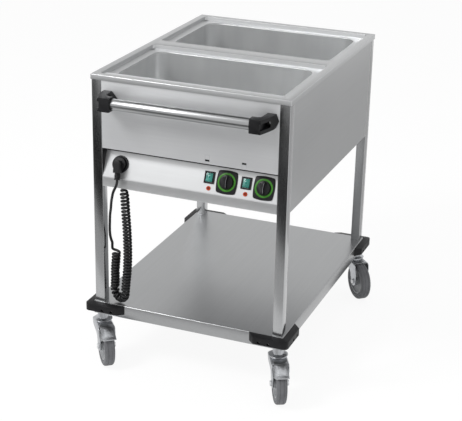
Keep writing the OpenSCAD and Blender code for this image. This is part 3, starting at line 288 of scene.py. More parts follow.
def at_height(z):
    """A test for the sharp edges at one height."""
    return lambda mid, way, bend: abs(mid.z - z) < NEAR and bend > SHARP


def flat_middle(obj, test):
    """A narrow border on the flat faces that pass the test, so that their middle shades flat."""
    pick(obj, "FACE", test)
    bpy.ops.mesh.inset(thickness=0.5 * MM, depth=0)


def drop_faces(obj, test):
    """Leaves a piece open where its faces pass the test."""
    pick(obj, "FACE", test)
    bpy.ops.mesh.delete(type="FACE")


def sheet_wall(obj, thick, offset=-1):
    """Gives an open shape the thickness of its sheet."""
    hold(obj)
    wall = obj.modifiers.new("wall", "SOLIDIFY")
    wall.thickness = thick * MM
    wall.offset = offset
    wall.use_even_offset = True
    bpy.ops.object.modifier_apply(modifier="wall")


def block(name, low, high):
    """A box between two corners."""
    leave()
    bpy.ops.mesh.primitive_cube_add(size=1, location=[(a + b) / 2 * MM for a, b in zip(low, high)],
                                    scale=[(b - a) * MM for a, b in zip(low, high)])
    obj = bpy.context.object
    bpy.ops.object.transform_apply()
    obj.name = obj.data.name = name
    return obj


def cut_away(obj, cutter):
    """Takes the cutter's shape out of a piece."""
    hold(obj)
    cut = obj.modifiers.new("cut", "BOOLEAN")
    cut.operation = "DIFFERENCE"
    cut.solver = "EXACT"
    cut.object = cutter
    bpy.ops.object.modifier_apply(modifier="cut")
    leave()
    bpy.data.objects.remove(cutter)


def stand(obj, place):
    """Puts a piece at its place, with the place in its mesh."""
    hold(obj)
    obj.matrix_world = place
    bpy.ops.object.transform_apply()


def dress(obj, mat, body, nodes=(), angle=32):
    """Finishes a piece: its material and shading, the body it rides on and the nodes it stands for."""
    obj.data.materials.clear()
    obj.data.materials.append(mat)
    if obj.type == "MESH":
        hold(obj)
        bpy.ops.object.shade_smooth_by_angle(angle=math.radians(angle))
    leave()
    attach(obj, body)
    if nodes:
        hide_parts(*nodes)
    return obj


def copy_of(obj, name, place):
    """The same shape again, with its own mesh, at another place."""
    made = bpy.data.objects.new(name, obj.data.copy())
    made.data.name = name
    bpy.context.scene.collection.objects.link(made)
    stand(made, place)
    return made


def softened(name, node, mat, *rounds, angle=30):
    """Stands for a CAD node: its solid with sharp edges rounded. A round is a width, steps and a test."""
    made = bpy.data.objects.new(name, frame["nodes"][node].data.copy())
    made.data.name = name
    for key in list(made.data.keys()):
        del made.data[key]
    bpy.context.scene.collection.objects.link(made)
    hold(made)
    bpy.ops.object.mode_set(mode="EDIT")
    bpy.ops.mesh.select_all(action="SELECT")
    bpy.ops.mesh.remove_doubles(threshold=2e-6)
    bpy.ops.mesh.dissolve_limited(angle_limit=math.radians(0.5))
    for width, steps, test in rounds:
        round_edges(made, width, steps, lambda mid, way, bend: bend > SHARP and test(mid), True)
    pick(made, "FACE", lambda mid, way, bend: True)
    bpy.ops.mesh.remove_doubles(threshold=2e-6)
    return dress(made, mat, BODY_OF[node], (node,), angle)


def anywhere(mid):
    """A test that every sharp edge passes."""
    return True


def turned(name, outline, steps):
    """A ring of points set to an outline of radius and height, spun round Z."""
    leave()
    bpy.ops.mesh.primitive_circle_add(vertices=len(outline), radius=1)
    obj = bpy.context.object
    obj.name = obj.data.name = name
    for point, (r, h) in zip(obj.data.vertices, outline):
        point.co = (r * MM, 0, h * MM)
    pick(obj, "EDGE", lambda mid, way, bend: True)
    bpy.ops.mesh.spin(steps=steps, angle=2 * math.pi, center=(0, 0, 0), axis=(0, 0, 1))
    bpy.ops.mesh.select_all(action="SELECT")
    bpy.ops.mesh.remove_doubles(threshold=1e-6)
    bpy.ops.mesh.normals_make_consistent(inside=False)
    leave()
    return obj


def lying_on(centre, axis):
    """The place that turns local Z to an axis through a centre."""
    turn = Vector(axis).to_track_quat("Z", "X").to_matrix().to_4x4()
    return Matrix.Translation(Vector(centre) * MM) @ turn


# Mains cord and plug

CORD_D, CURL_D, CURLS = 8.0, 28.0, 53
CURL_R = (CURL_D - CORD_D) / 2
# The curls' axis, from the gland down, round the bend and up again
CURL_AXIS = [(-207, -387, 573), (-207, -387, 562), (-205, -387, 540), (-201, -389, 490), (-198, -390, 450),
             (-196, -391, 412), (-195, -392, 365), (-196, -394, 316), (-199, -395, 280), (-202, -397, 241.5),
             (-203.5, -396, 232), (-208.5, -394, 224), (-216, -390, 218.5), (-224.5, -386, 216.5),
             (-233, -382, 218.5), (-240.5, -378.5, 224), (-245.5, -376, 232), (-247, -375, 241.5),
             (-245, -377, 269), (-244, -378, 302), (-241, -379, 334), (-239, -379, 361)]
CURL_START, CURL_LEAVE = np.array((-207.0, -387.0, 581.0)), np.array((-257.0, -370.0, 370.0))
# From curl to curl along the axis, at shares of its length
PITCH_SHARES, PITCHES = (0, 0.54, 0.59, 0.8, 0.83, 1), (11, 9.6, 9.8, 9.8, 9.6, 10.2)
# In the bend, the curls' inner sides take turns at two distances from the axis. The axis's direction
# is felt over this length on either side
BEND_R, INNER_RS, FEEL = 34.0, (9.5, -1), 10.0
# The straight stretch, from the plug down to where it joins the curls
CORD_ROUTE = [(-214.5, -423, 592), (-218.5, -424.5, 582), (-223.5, -424.5, 571), (-228.5, -422.5, 554),
              (-235, -415.5, 533.5), (-241.5, -406, 511), (-248.5, -398, 487), (-254, -389.5, 460),
              (-258.5, -382, 434), (-260.5, -376.5, 414), (-259.5, -372.5, 397.5)]
# The parked plug: how far across and up the slanted panel, its turn, and its end that the cord leaves
PLUG_X, PLUG_UP, PLUG_TURN = -218.5, 42.4, math.radians(5.5)
PLUG_TAIL = Vector((0, -47, 17))


def unit(v):
    """The same direction with length 1."""
    return v / np.linalg.norm(v)


def through(p, steps):
    """A smooth line through a list of points, with so many steps from each to the next."""
    p = [np.array(q, float) for q in p]
    line = []
    for i in range(len(p) - 1):
        a, b, c, d = p[max(i - 1, 0)], p[i], p[i + 1], p[min(i + 2, len(p) - 1)]
        for k in range(steps):
            t = k / steps
            line.append(0.5 * (2 * b + (c - a) * t + (2 * a - 5 * b + 4 * c - d) * t * t
                               + (3 * b - a - 3 * c + d) * t ** 3))
    return np.array(line + [p[-1]])


def curly_line(steps=16):
    """The curls' centre line, from the gland down, round the bend and up to where the cord leaves them."""
    pts = through(CURL_AXIS, 12)
    at = np.concatenate([[0], np.cumsum(np.linalg.norm(np.diff(pts, axis=0), axis=1))])
    long = at[-1]

    def place(s):
        return np.array([np.interp(s, at, pts[:, k]) for k in range(3)])

    def way(s):
        s = max(0.0, min(s, long))
        return unit(place(min(s + FEEL, long)) - place(max(s - FEEL, 0)))

    pitches = np.interp(at / long, PITCH_SHARES, PITCHES)
    sums = np.concatenate([[0], np.cumsum(np.diff(at) / pitches[:-1])])
    sums *= CURLS / sums[-1]

    def centre(n):
        s = float(np.interp(n, sums, at))
        w = way(s)
        back = unit(np.array((0, 1, 0)) - w[1] * w)
        turn = 2 * math.pi * n
        side = math.cos(turn) * back + math.sin(turn) * np.cross(w, back)
        inner = way(s + FEEL) - way(s - FEEL)
        sharp = float(np.linalg.norm(inner))
        inward = math.sqrt(max(0.0, float(side @ inner) / max(sharp, 1e-9)))
        drawn = INNER_RS[int(n + 0.75) % 2]
        first = min(max(n, 0), 1)
        grow = first * first * (3 - 2 * first)
        reach = grow * (CURL_R - min(1.0, BEND_R * sharp / (2 * FEEL)) * inward * (CURL_R - drawn))
        return place(s) + reach * side

    line = [CURL_START] + [centre(i / steps) for i in range(CURLS * steps + 1)]
    end, pull, parts = line[-1], 9.0, 8
    pull_out = end + pull * unit(end - centre(CURLS - 1 / parts))
    pull_in = CURL_LEAVE - (0, 0, pull)
    for i in range(1, parts + 1):
        t = i / parts
        line.append((1 - t) ** 3 * end + 3 * (1 - t) ** 2 * t * pull_out + 3 * (1 - t) * t * t * pull_in
                    + t ** 3 * CURL_LEAVE)
    return line


def plug_place():
    """The parked plug's place on the slanted panel: across it, up it and out of it."""
    turn = Matrix((Vector((1, 0, 0)), SLOPE_UP, SLOPE_OUT)).transposed() @ Matrix.Rotation(PLUG_TURN, 3, "Z")
    return Matrix.Translation(Vector((PLUG_X, -HALF_D, SLANT_LOW)) + PLUG_UP * SLOPE_UP) @ turn.to_4x4()


def mains_cord():
    """One curve from the gland through all the curls and up to the parked plug."""
    way = np.array(plug_place().to_3x3() @ Vector((0, -1, 0)))
    tail = np.array(plug_place() @ PLUG_TAIL)
    rise = np.array((0, 0, CORD_D))
    leaving = [CURL_LEAVE, CURL_LEAVE + rise, CURL_LEAVE + 2 * rise]
    line = curly_line() + list(through([*leaving, *reversed(CORD_ROUTE), tail + CORD_D * way, tail], 6))[1:]
    curve = bpy.data.curves.new("mains_cord", "CURVE")
    curve.dimensions = "3D"
    curve.bevel_depth = CORD_D / 2 * MM
    curve.bevel_resolution = 3
    spline = curve.splines.new("POLY")
    spline.points.add(len(line) - 1)
    for point, p in zip(spline.points, line):
        point.co = (*(float(c) * MM for c in p), 1)
    spline.use_smooth = True
    obj = bpy.data.objects.new("mains_cord", curve)
    bpy.context.scene.collection.objects.link(obj)
    dress(obj, M["cord"], "cart", ("curly_cord", "straight_cord"))
    length = sum(float(np.linalg.norm(b - a)) for a, b in zip(line, line[1:])) * MM
    return obj, [float(c) * MM for c in line[0]], length


def plug_part(low, high):
    """A test for the plug's edges between two heights along its own up direction."""
    back = plug_place().inverted()
    return lambda mid: low < (back @ mid).y < high and (back @ mid).z > 7


cord, cord_exit, cord_length = mains_cord()
plug = softened("mains_plug", "plug", M["plug"], (3.0, 4, plug_part(-26.8, 30)),
                (0.6, 2, plug_part(-60, -27.3)))
gland = softened("cord_gland", "cable_gland", M["black"], (0.5, 2, anywhere))


# Top and wells

TOP_X, TOP_Y, TOP_H = 302.7, 402.7, 910.0
WELL_W, WELL_D, WELL_Y = 509.0, 305.0, 203.0
RECESS_W, RECESS_D, RECESS_Y = 562.0, 353.0, 204.5
SKIRT_H, LEDGE_H, FLOOR_H = 895.0, 898.0, 693.0
WELL_CORNER, RECESS_CORNER, FLOOR_ROUND = 45, 10, 30
OVER = 15  # how far a cutter goes past what it cuts


def top_sheet():
    """Folded top: rounded rim, flat border with two recesses, and a ledge rolled down into each well."""
    top = block("top_sheet", (-TOP_X, -TOP_Y, SKIRT_H), (TOP_X, TOP_Y, TOP_H))
    round_edges(top, 3, 4, upright)
    round_edges(top, 1.8, 3, at_height(TOP_H))
    for side in (-1, 1):
        y = side * RECESS_Y
        recess = block("recess", (-RECESS_W / 2, y - RECESS_D / 2, LEDGE_H),
                       (RECESS_W / 2, y + RECESS_D / 2, TOP_H + OVER))
        round_edges(recess, RECESS_CORNER, 6, upright)
        round_edges(recess, 0.8, 2, at_height(LEDGE_H))
        cut_away(top, recess)
        y = side * WELL_Y
        mouth = block("mouth", (-WELL_W / 2, y - WELL_D / 2, SKIRT_H - OVER),
                      (WELL_W / 2, y + WELL_D / 2, LEDGE_H + OVER / 2))
        round_edges(mouth, WELL_CORNER, 10, upright)
        cut_away(top, mouth)
    round_edges(top, 1.0, 2, at_height(TOP_H))
    round_edges(top, 2.6, 4, at_height(LEDGE_H))
    drop_faces(top, lambda mid, way, bend: mid.z < SKIRT_H + NEAR and way.z < -FACING)
    sheet_wall(top, SHEET)
    return dress(top, M["top"], "cart", ("top_plate",))


def well_pan(name, node, side):
    """Deep drawn pan with round corners and a round edge at its floor."""
    y = side * WELL_Y
    pan = block(name, (-WELL_W / 2, y - WELL_D / 2, FLOOR_H), (WELL_W / 2, y + WELL_D / 2, SKIRT_H + 0.2))
    round_edges(pan, WELL_CORNER, 12, upright)
    round_edges(pan, FLOOR_ROUND, 8, at_height(FLOOR_H))
    drop_faces(pan, lambda mid, way, bend: way.z > FACING and mid.z > SKIRT_H)
    sheet_wall(pan, PAN_SHEET, 1)
    return dress(pan, M["pan"], "cart", (node,), 40)


top_sheet()
well_pan("front_pan", "front_well", -1)
well_pan("rear_pan", "rear_well", 1)


# Body panels, shelf and legs

def tray_panel(name, node, low, high, back, mat):
    """Folded panel: a face with rounded bends and returns on all four sides, open at its back."""
    panel = block(name, low, high)
    drop_faces(panel, lambda mid, way, bend: way.dot(Vector(back)) > FACING)
    face = Vector([b if c < 0 else a for a, b, c in zip(low, high, back)])
    axis = [abs(c) for c in back].index(1)
    round_edges(panel, 1.5, 2, lambda mid, way, bend: abs(way[axis]) > FACING)
    round_edges(panel, 1.8, 3, lambda mid, way, bend: abs(mid[axis] - face[axis]) < NEAR and bend > SHARP)
    sheet_wall(panel, SHEET)
    return dress(panel, mat, "cart", (node,))


def control_sheet():
    """Lip, slanted panel and return folded from one sheet, with rounded bends."""
    fold = 26
    leave()
    bpy.ops.mesh.primitive_plane_add(size=1, location=(0, -HALF_D * MM, (BODY_LOW + SLANT_LOW) / 2 * MM),
                                     rotation=(math.radians(90), 0, 0))
    sheet = bpy.context.object
    sheet.scale = (2 * PANEL_X * MM, (SLANT_LOW - BODY_LOW) * MM, 1)
    bpy.ops.object.transform_apply()
    sheet.name = sheet.data.name = "control_sheet"
    pick(sheet, "EDGE", lambda mid, way, bend: mid.z > SLANT_LOW - NEAR)
    bpy.ops.mesh.extrude_edges_move(TRANSFORM_OT_translate={"value": (
        0, SLANT_RISE * math.tan(SLOPE) * MM, SLANT_RISE * MM)})
    pick(sheet, "EDGE", lambda mid, way, bend: mid.z < BODY_LOW + NEAR)
    bpy.ops.mesh.extrude_edges_move(TRANSFORM_OT_translate={"value": (0, fold * MM, 0)})
    round_edges(sheet, 2.5, 5, lambda mid, way, bend: abs(mid.z - SLANT_LOW) < NEAR and abs(way.x) > FACING)
    round_edges(sheet, 2.2, 4, lambda mid, way, bend: mid.z < BODY_LOW + NEAR and mid.y < NEAR - HALF_D
                and abs(way.x) > FACING)
    bpy.ops.mesh.select_all(action="SELECT")
    bpy.ops.mesh.normals_make_consistent(inside=False)
    leave()
    if sum(f.normal.y * f.area for f in sheet.data.polygons) > 0:
        sheet.data.flip_normals()
    sheet_wall(sheet, HEAVY_SHEET)
    return dress(sheet, M["panel"], "cart", ("control_panel",), 25)


def body_panels():
    """Upright front, back and the two sides."""
    fold, front_fold = 14, 35.6
    tray_panel("front_sheet", "front_panel", (-PANEL_X, -HALF_D, FRONT_LOW),
               (PANEL_X, front_fold - HALF_D, PANEL_TOP), (0, 1, 0), M["front"])
    tray_panel("back_sheet", "back_panel", (-PANEL_X, HALF_D - fold, BODY_LOW), (PANEL_X, HALF_D, PANEL_TOP),
               (0, -1, 0), M["front"])
    tray_panel("left_sheet", "left_panel", (-HALF_W, -PANEL_Y, BODY_LOW),
               (fold - HALF_W, PANEL_Y, PANEL_TOP), (1, 0, 0), M["side"])
    tray_panel("right_sheet", "right_panel", (HALF_W - fold, -PANEL_Y, BODY_LOW),
               (HALF_W, PANEL_Y, PANEL_TOP), (-1, 0, 0), M["side"])


def shade_and_seam_strips():
    """Dark strips in the bumpers' rubber: painted shadow under the upright front's lower edge, painted shade
    in the pockets beside the slanted panel, and dark seams at the right legs.
    """
    strips = {}
    # Painted shadow: a dark strip along the line of shadow under the upright front's lower edge
    high, tall, deep, set_back, short = FRONT_LOW - 0.1, 2.5, 4.6, 0.4, 0.2
    strips["seam_seal"] = ((short - PANEL_X, set_back - HALF_D, high - tall),
                           (PANEL_X - short, set_back + deep - HALF_D, high))
    # Painted shade: thin dark cheeks over the shaded pockets between the slanted panel's ends and the legs
    thick, deep, set_back, over = 0.7, 34, 1.5, 0.2
    for word, side in (("left", -1), ("right", 1)):
        one, two = sorted((side * (PANEL_X + over - thick), side * (PANEL_X + over)))
        strips[f"{word}_cheek"] = ((one, set_back - HALF_D, SLANT_LOW + 1),
                                   (two, set_back + deep - HALF_D, high))
    wide, deep, set_back, over = 1.6, 3.2, 0.8, 0.9
    for word, side in (("front", -1), ("rear", 1)):
        one, two = sorted((side * (PANEL_Y + over - wide), side * (PANEL_Y + over)))
        strips[f"right_{word}_seam"] = ((HALF_W - set_back - deep, one, BODY_LOW + 1),
                                        (HALF_W - set_back, two, SKIRT_H))
    for name, (low, high) in strips.items():
        seal = block(name, low, high)
        round_edges(seal, 0.3, 2, lambda mid, way, bend: bend > SHARP)
        # The bumpers' dark rubber, which on the front strip and the cheeks is painted shade
        dress(seal, M["bumper"], "cart", ())


body_panels()
control_sheet()
shade_and_seam_strips()

# Each leg's place, and the angle at which its castor trails, in degrees
CORNERS = {"front_left": (-LEG_X, -LEG_Y, 39), "front_right": (LEG_X, -LEG_Y, 28),
           "rear_left": (-LEG_X, LEG_Y, 30), "rear_right": (LEG_X, LEG_Y, 42)}
SHELF_X, SHELF_Y, SHELF_TOP, SHELF_FOLD = 305.0, 406.0, 200.0, 12.0


def square_leg():
    """Square tube with rounded edges, open at both ends, as one leg at the origin."""
    leg = block("leg", (-LEG_W / 2, -LEG_W / 2, LEG_LOW), (LEG_W / 2, LEG_W / 2, LEG_TOP))
    drop_faces(leg, lambda mid, way, bend: abs(way.z) > FACING)
    round_edges(leg, 1.5, 3, upright)
    sheet_wall(leg, HEAVY_SHEET)
    return leg


def shelf_tray():
    """Lower shelf: flat top, rounded bends, deep edge, a return under it and a square hole for each leg."""
    shelf = block("shelf_tray", (-SHELF_X, -SHELF_Y, LEG_LOW), (SHELF_X, SHELF_Y, SHELF_TOP))
    drop_faces(shelf, lambda mid, way, bend: way.z < -FACING)
    round_edges(shelf, 3.5, 4, upright)
    round_edges(shelf, 2.4, 3, at_height(SHELF_TOP))
    flat_middle(shelf, lambda mid, way, bend: way.z > 0.99 and mid.z > SHELF_TOP - NEAR)
    pick(shelf, "EDGE", lambda mid, way, bend: mid.z < LEG_LOW + NEAR)
    bpy.ops.mesh.extrude_edges_move(TRANSFORM_OT_translate={"value": (0, 0, 0)})
    bpy.ops.transform.resize(value=(1 - SHELF_FOLD / SHELF_X, 1 - SHELF_FOLD / SHELF_Y, 1),
                             center_override=(0, 0, LEG_LOW * MM))
    round_edges(shelf, 1.2, 2, at_height(LEG_LOW))
    sheet_wall(shelf, HEAVY_SHEET)
    half = LEG_W / 2 + 0.2
    for x, y, _ in CORNERS.values():
        cut_away(shelf, block("hole", (x - half, y - half, LEG_LOW - OVER),
                              (x + half, y + half, SHELF_TOP + OVER)))
    return dress(shelf, M["shelf"], "cart", ("bottom_shelf",))


shelf_tray()
leg = square_leg()
for corner, (x, y, _) in CORNERS.items():
    tube = copy_of(leg, f"{corner}_leg", Matrix.Translation((x * MM, y * MM, 0)))
    dress(tube, M["leg"], "cart", (f"leg_{corner}",))
    softened(f"{corner}_bumper", f"bumper_{corner}", M["bumper"], (2.2, 3, anywhere))
bpy.data.objects.remove(leg)


# Handle

def handle_bar():
    """Ground tube between the brackets, open at its ends."""
    radius, length, y, z = 16.5, 444, -455, 847
    leave()
    bpy.ops.mesh.primitive_cylinder_add(vertices=96, radius=radius * MM, depth=length * MM,
                                        end_fill_type="NGON", location=(0, y * MM, z * MM),
                                        rotation=(0, math.radians(90), 0))
    bar = bpy.context.object
    bpy.ops.object.transform_apply()
    bar.name = bar.data.name = "handle_bar"
    drop_faces(bar, lambda mid, way, bend: abs(way.x) > FACING)
    sheet_wall(bar, 2)
    round_edges(bar, 0.5, 2, lambda mid, way, bend: abs(mid.x) > length / 2 - NEAR and bend > SHARP)
    return dress(bar, M["handle"], "cart", ("handle_tube",))


handle_bar()
softened("left_handle_bracket", "handle_bracket_left", M["black"], (1.8, 3, anywhere))
softened("right_handle_bracket", "handle_bracket_right", M["black"], (1.8, 3, anywhere))
softened("bracket_bolts", "handle_screws", M["screw"], (0.5, 2, anywhere))


# Controls

SWITCH_X, SWITCH_UP = {"front": 60.5, "rear": 172.1}, 45.5
DIAL_STEP, DIAL_UP = 53.6, 39.2
LAMP_STEP, LAMP_UP = 1.3, 14.7
# Printed bars: where each is, and how far above or below it its pale frame is
BARS = ((59.3, 703.0, 9.5), (170.2, 710.0, -9.5))
FRAME_W, FRAME_H, LINE_W = 14.0, 12.4, 0.6


def on_panel(x, s):
    """The place on the slanted panel at x and so far up it, with local Z out of it and local Y up it."""
    turn = Matrix((Vector((1, 0, 0)), SLOPE_UP, SLOPE_OUT)).transposed().to_4x4()
    return Matrix.Translation((Vector((x, -HALF_D, SLANT_LOW)) + s * SLOPE_UP) * MM) @ turn


def small_plate(name, place, size, corner, low, high, soft, crown=0.0):
    """A small plate with round corners, rounded upper edges and, where it has one, a crown."""
    w, l = size
    plate = block(name, (-w / 2, -l / 2, low), (w / 2, l / 2, high))
    round_edges(plate, corner, 4, upright)
    round_edges(plate, soft, 2, lambda mid, way, bend: mid.z > high - 0.001 and bend > SHARP)
    if crown:
        pick(plate, "FACE", lambda mid, way, bend: way.z > FACING and mid.z > high - 0.001)
        bpy.ops.mesh.inset(thickness=min(w, l) * 0.18 * MM, depth=crown * MM)
        bpy.ops.mesh.inset(thickness=min(w, l) * 0.14 * MM, depth=crown / 2 * MM)
    stand(plate, place)
    return plate


def pointer_and_highlight_line(name, place):
    """Pale pointer print along one edge of the knob's grip, which follows its waist and also stands as
    painted highlight for that edge's light line.
    """
    wide, half, steps, waist = 0.8, 15, 12, 1.6
    leave()
    bpy.ops.mesh.primitive_grid_add(x_subdivisions=1, y_subdivisions=steps, size=1,
                                    location=(3.9 * MM, 0, 18.2 * MM))
    line = bpy.context.object
    line.scale = (wide * MM, 2 * half * MM, 1)
    bpy.ops.object.transform_apply()
    line.name = line.data.name = name
    for i in range(1, steps):
        y = half * (2 * i / steps - 1)
        pick(line, "VERT", lambda mid, way, bend: abs(mid.y - y) < NEAR)
        bpy.ops.transform.translate(value=(-waist * (1 - (y / half) ** 2) * MM, 0, 0))
    sheet_wall(line, 0.35, 1)
    stand(line, place)
    return line


def controls():
    """Switches, dials, lamps and the socket on the slanted panel."""
    for name, switch_x in SWITCH_X.items():
        dial = on_panel(switch_x + DIAL_STEP, DIAL_UP)
        softened(f"{name}_switch_frame", f"switch_frame_{name}", M["plate"], (0.7, 2, anywhere))
        softened(f"{name}_switch_rocker", f"rocker_{name}", M["rocker"], (0.6, 2, anywhere))
        tilt = Matrix.Translation((0, 0, -1.5 * MM)) @ Matrix.Rotation(math.radians(-6), 4, "X")
        window = small_plate(f"{name}_rocker_window", on_panel(switch_x, SWITCH_UP) @ tilt, (9, 11), 2,
                             4.9, 5.55, 0.3, 0.2)
        dress(window, M["rocker_window"], f"rocker_{name}", ())
        softened(f"{name}_dial_plate", f"thermostat_plate_{name}", M["plate"], (1.4, 3, anywhere))
        softened(f"{name}_dial_knob", f"knob_{name}", M["knob"], (0.9, 2, anywhere))
        # Painted highlight along the grip's edge, drawn as a pale strip
        dress(pointer_and_highlight_line(f"{name}_knob_line", dial), M["pointer_and_highlight"], f"knob_{name}", ())
        shade = turned(f"{name}_dial_shade", [(19.8, 2.9), (22.2, 2.9), (22.2, 3.5), (19.8, 3.5)], 72)
        stand(shade, dial)
        dress(shade, M["dial_dark"], "cart", ())
    softened("green_scales", "dial_rings", M["dial"], (0.3, 2, anywhere))
    softened("signal_lamps", "pilot_lamps", M["lamp"], (0.4, 2, anywhere))
    for k, switch_x in enumerate(SWITCH_X.values()):
        place = on_panel(switch_x + LAMP_STEP, LAMP_UP)
        crown = small_plate(f"lamp_crown_{k + 1}", place, (5, 5), 2.4, 3.0, 3.9, 0.4, 0.3)
        dress(crown, M["lamp_centre"], "cart", (), 24)
    softened("plug_socket", "parking_socket", M["plate"], (0.8, 3, anywhere))


def on_front(x, z):
    """The place on the upright front, with local Z out of it and local Y up it."""
    return Matrix.Translation(Vector((x, -HALF_D, z)) * MM) @ Matrix.Rotation(math.radians(90), 4, "X")


def printed_marks():
    """Two small dark bars above the switches, each with a pale frame."""
    for k, (x, z, shift) in enumerate(BARS):
        bar = small_plate(f"printed_bar_{k + 1}", on_front(x, z), (13.5, 5.2), 0.5, 0, 0.18, 0.08)
        dress(bar, M["print"], "cart", ())
        right, up = FRAME_W / 2 - LINE_W / 2, FRAME_H / 2 + LINE_W / 2
        for j, (dx, dz, w, l) in enumerate(((0, up, FRAME_W, LINE_W), (0, -up, FRAME_W, LINE_W),
                                            (right, 0, LINE_W, FRAME_H), (-right, 0, LINE_W, FRAME_H))):
            line = small_plate(f"printed_frame_{k + 1}_{j + 1}", on_front(x + dx, z + shift + dz), (w, l),
                               0.2, 0, 0.1, 0.04)
            dress(line, M["pale_print"], "cart", ())


controls()
printed_marks()


# Castors

WHEEL_R, TRAIL = 62.5, 42.0


def arc(cx, cy, r, start, end, steps):
    """Points along a round stretch of an outline, from one angle to another."""
    return [(cx + r * math.cos(math.radians(start + (end - start) * i / steps)),
             cy + r * math.sin(math.radians(start + (end - start) * i / steps))) for i in range(steps + 1)]


def tyre_outline():
    """Half-round shoulders, a flat tread with two fine grooves and a bead over the wheel centre."""
    out = [(44.1, -12), (44.1, 12), (46, 14.5), (52, 15.6)] + arc(54.5, 8, 8, 80, 12, 6)
    for h in (5.4, -5.4):
        out += [(WHEEL_R, h + 0.9), (WHEEL_R - 1, h + 0.45), (WHEEL_R - 1, h - 0.45), (WHEEL_R, h - 0.9)]
    return out + arc(54.5, -8, 8, -12, -80, 6) + [(52, -15.6), (46, -14.5)]


def hub_outline():
    """Wheel centre with a boss, a dished web and a rim."""
    half = [(5.05, 19), (12, 19), (13, 18), (13.6, 9.5), (15, 8), (22, 6.6), (31, 6.6), (37, 8), (39, 10),
            (40, 13.2), (44, 13.7)]
    return half + [(r, -h) for r, h in reversed(half)]


tyre = turned("tyre", tyre_outline(), 96)
centre = turned("wheel_centre", hub_outline(), 72)
for corner, (x, y, trail) in CORNERS.items():
    t = math.radians(trail)
    axle = Vector((math.cos(t), math.sin(t), 0))
    place = lying_on((x + TRAIL * axle.y, y - TRAIL * axle.x, WHEEL_R), axle)
    for shape, word, kind in ((tyre, "tyre", "tyre"), (centre, "wheel_centre", "hub")):
        part = copy_of(shape, f"{corner}_{word}", place)
        dress(part, M[kind], f"wheel_{corner}", (f"{kind}_{corner}",), 24)
    softened(f"{corner}_fork", f"fork_{corner}", M["zinc"], (0.9, 2, anywhere))
    softened(f"{corner}_axle_bolt", f"axle_{corner}", M["screw"], (0.6, 2, anywhere))
bpy.data.objects.remove(tyre)
bpy.data.objects.remove(centre)
softened("castor_necks", "castor_fittings", M["zinc"], (0.8, 2, anywhere))
softened("left_brake_pedal", "brake_pedal_left", M["zinc"], (0.8, 2, anywhere))
softened("right_brake_pedal", "brake_pedal_right", M["zinc"], (0.8, 2, anywhere))

# Pieces out of sight keep their CAD shape

for node, key in {"bottom_cover": "inner", "bumper_screws": "screw", "thermostat_bodies": "ivory",
                  "heating_elements": "heater", "terminal_block": "ivory"}.items():
    mesh = frame["nodes"][node].data
    mesh.materials.clear()
    mesh.materials.append(M[key])


# Studio

def seen_rays(tree):
    """1 for rays that show the background: camera, glossy and transmission rays."""
    path = put(tree, "ShaderNodeLightPath").outputs
    either = put(tree, "ShaderNodeMath", {"operation": "MAXIMUM"}, i0=path["Is Camera Ray"],
                 i1=path["Is Glossy Ray"])
    return put(tree, "ShaderNodeMath", {"operation": "MAXIMUM"}, i0=either.outputs[0],
               i1=path["Is Transmission Ray"]).outputs[0]


def staged_plane(name, mat, low, high, z):
    """A flat rectangle of the studio, which isn't part of the trolley."""
    leave()
    bpy.ops.mesh.primitive_plane_add(size=1, location=((low[0] + high[0]) / 2, (low[1] + high[1]) / 2, z))
    obj = bpy.context.object
    obj.scale = (high[0] - low[0], high[1] - low[1], 1)
    bpy.ops.object.transform_apply()
    obj.name = obj.data.name = name
    obj.data.materials.append(mat)
    leave()
    return obj


def floor():
    """White paper under the trolley, which shows as a white background with a trace of its shadow."""
    mat, tree, place = finish("white paper floor")
    cloud = put(tree, "ShaderNodeTexNoise", Vector=place, Scale=3.0, Detail=2.0).outputs[0]
    colour = put(tree, "ShaderNodeMix", {"data_type": "RGBA"}, i0=cloud, i6=srgb("#f2f2f2"),
                 i7=srgb("#f8f8f8"))
    lit = put(tree, "ShaderNodeBsdfDiffuse", Color=colour.outputs[2])
    white = put(tree, "ShaderNodeEmission", Color=(1, 1, 1, 1), Strength=1.03)
    share = put(tree, "ShaderNodeMath", {"operation": "MULTIPLY"}, i0=seen_rays(tree), i1=0.88).outputs[0]
    both = put(tree, "ShaderNodeMixShader", i0=share, i1=lit.outputs[0], i2=white.outputs[0])
    put(tree, "ShaderNodeOutputMaterial", Surface=both.outputs[0])
    staged_plane("studio_floor", mat, (-12, -12), (12, 12), 0)


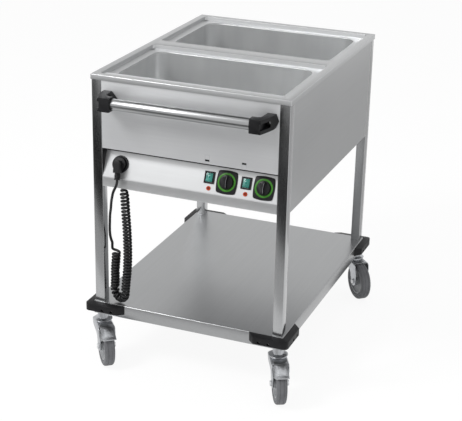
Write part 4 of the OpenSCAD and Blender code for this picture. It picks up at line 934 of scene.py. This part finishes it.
def card(name, code, low, high, z):
    """A paper card of the studio that only reflections show."""
    mat, tree, place = finish(f"{name} paper")
    fibre = put(tree, "ShaderNodeTexNoise", Vector=place, Scale=80.0, Detail=2.0).outputs[0]
    shade = put(tree, "ShaderNodeMapRange", Value=fibre, To_Min=0.92, To_Max=1.0).outputs[0]
    paper = put(tree, "ShaderNodeEmission", Color=srgb(code), Strength=shade)
    put(tree, "ShaderNodeOutputMaterial", Surface=paper.outputs[0])
    made = staged_plane(name, mat, low, high, z)
    made.visible_camera = made.visible_shadow = made.visible_diffuse = False


def area_light(name, place, aim, size, power):
    """A rectangular studio lamp that points at a place."""
    light = bpy.data.lights.new(name, "AREA")
    light.shape = "RECTANGLE"
    light.size, light.size_y = size
    light.energy = power
    obj = bpy.data.objects.new(name, light)
    obj.location = place
    obj.rotation_euler = (Vector(aim) - Vector(place)).to_track_quat("-Z", "Y").to_euler()
    bpy.context.scene.collection.objects.link(obj)


def studio_light():
    """White surroundings, a soft key from the upper left, weak fill and top lights, and a strip that
    draws the streak along the handle."""
    world = bpy.data.worlds.new("studio")
    bpy.context.scene.world = world
    world.use_nodes = True
    tree = world.node_tree
    tree.nodes.clear()
    strength = put(tree, "ShaderNodeMix", i0=seen_rays(tree), i2=0.55, i3=1.0).outputs[0]
    back = put(tree, "ShaderNodeBackground", Color=(1, 1, 1, 1), Strength=strength)
    put(tree, "ShaderNodeOutputWorld", Surface=back.outputs[0])
    area_light("key_light", (-1.9, -2.4, 3.0), (0, 0, 0.6), (1.0, 1.0), 75)
    area_light("fill_light", (2.8, -1.6, 2.6), (0, 0, 0.5), (2.0, 2.0), 10)
    area_light("top_light", (0.2, 0.6, 3.4), (0, 0, 0.8), (1.8, 1.8), 10)
    area_light("strip_light", (-0.85, -1.35, 2.95), (0, -0.45, 0.86), (2.2, 0.2), 7)


floor()
card("front_flag", "#161616", (-2.6, -3.4), (0.9, -1.45), 0.002)
card("front_grey_card", "#d2d2d2", (-2.6, -1.45), (0.9, -0.95), 0.002)
card("side_grey_card", "#d0d0d0", (0.4, 0.7), (3.0, 3.6), 0.002)
card("overhead_flag", "#101010", (-1.6, -0.25), (1.2, 1.5), 2.4)
studio_light()
bpy.context.scene.view_settings.view_transform = "Standard"
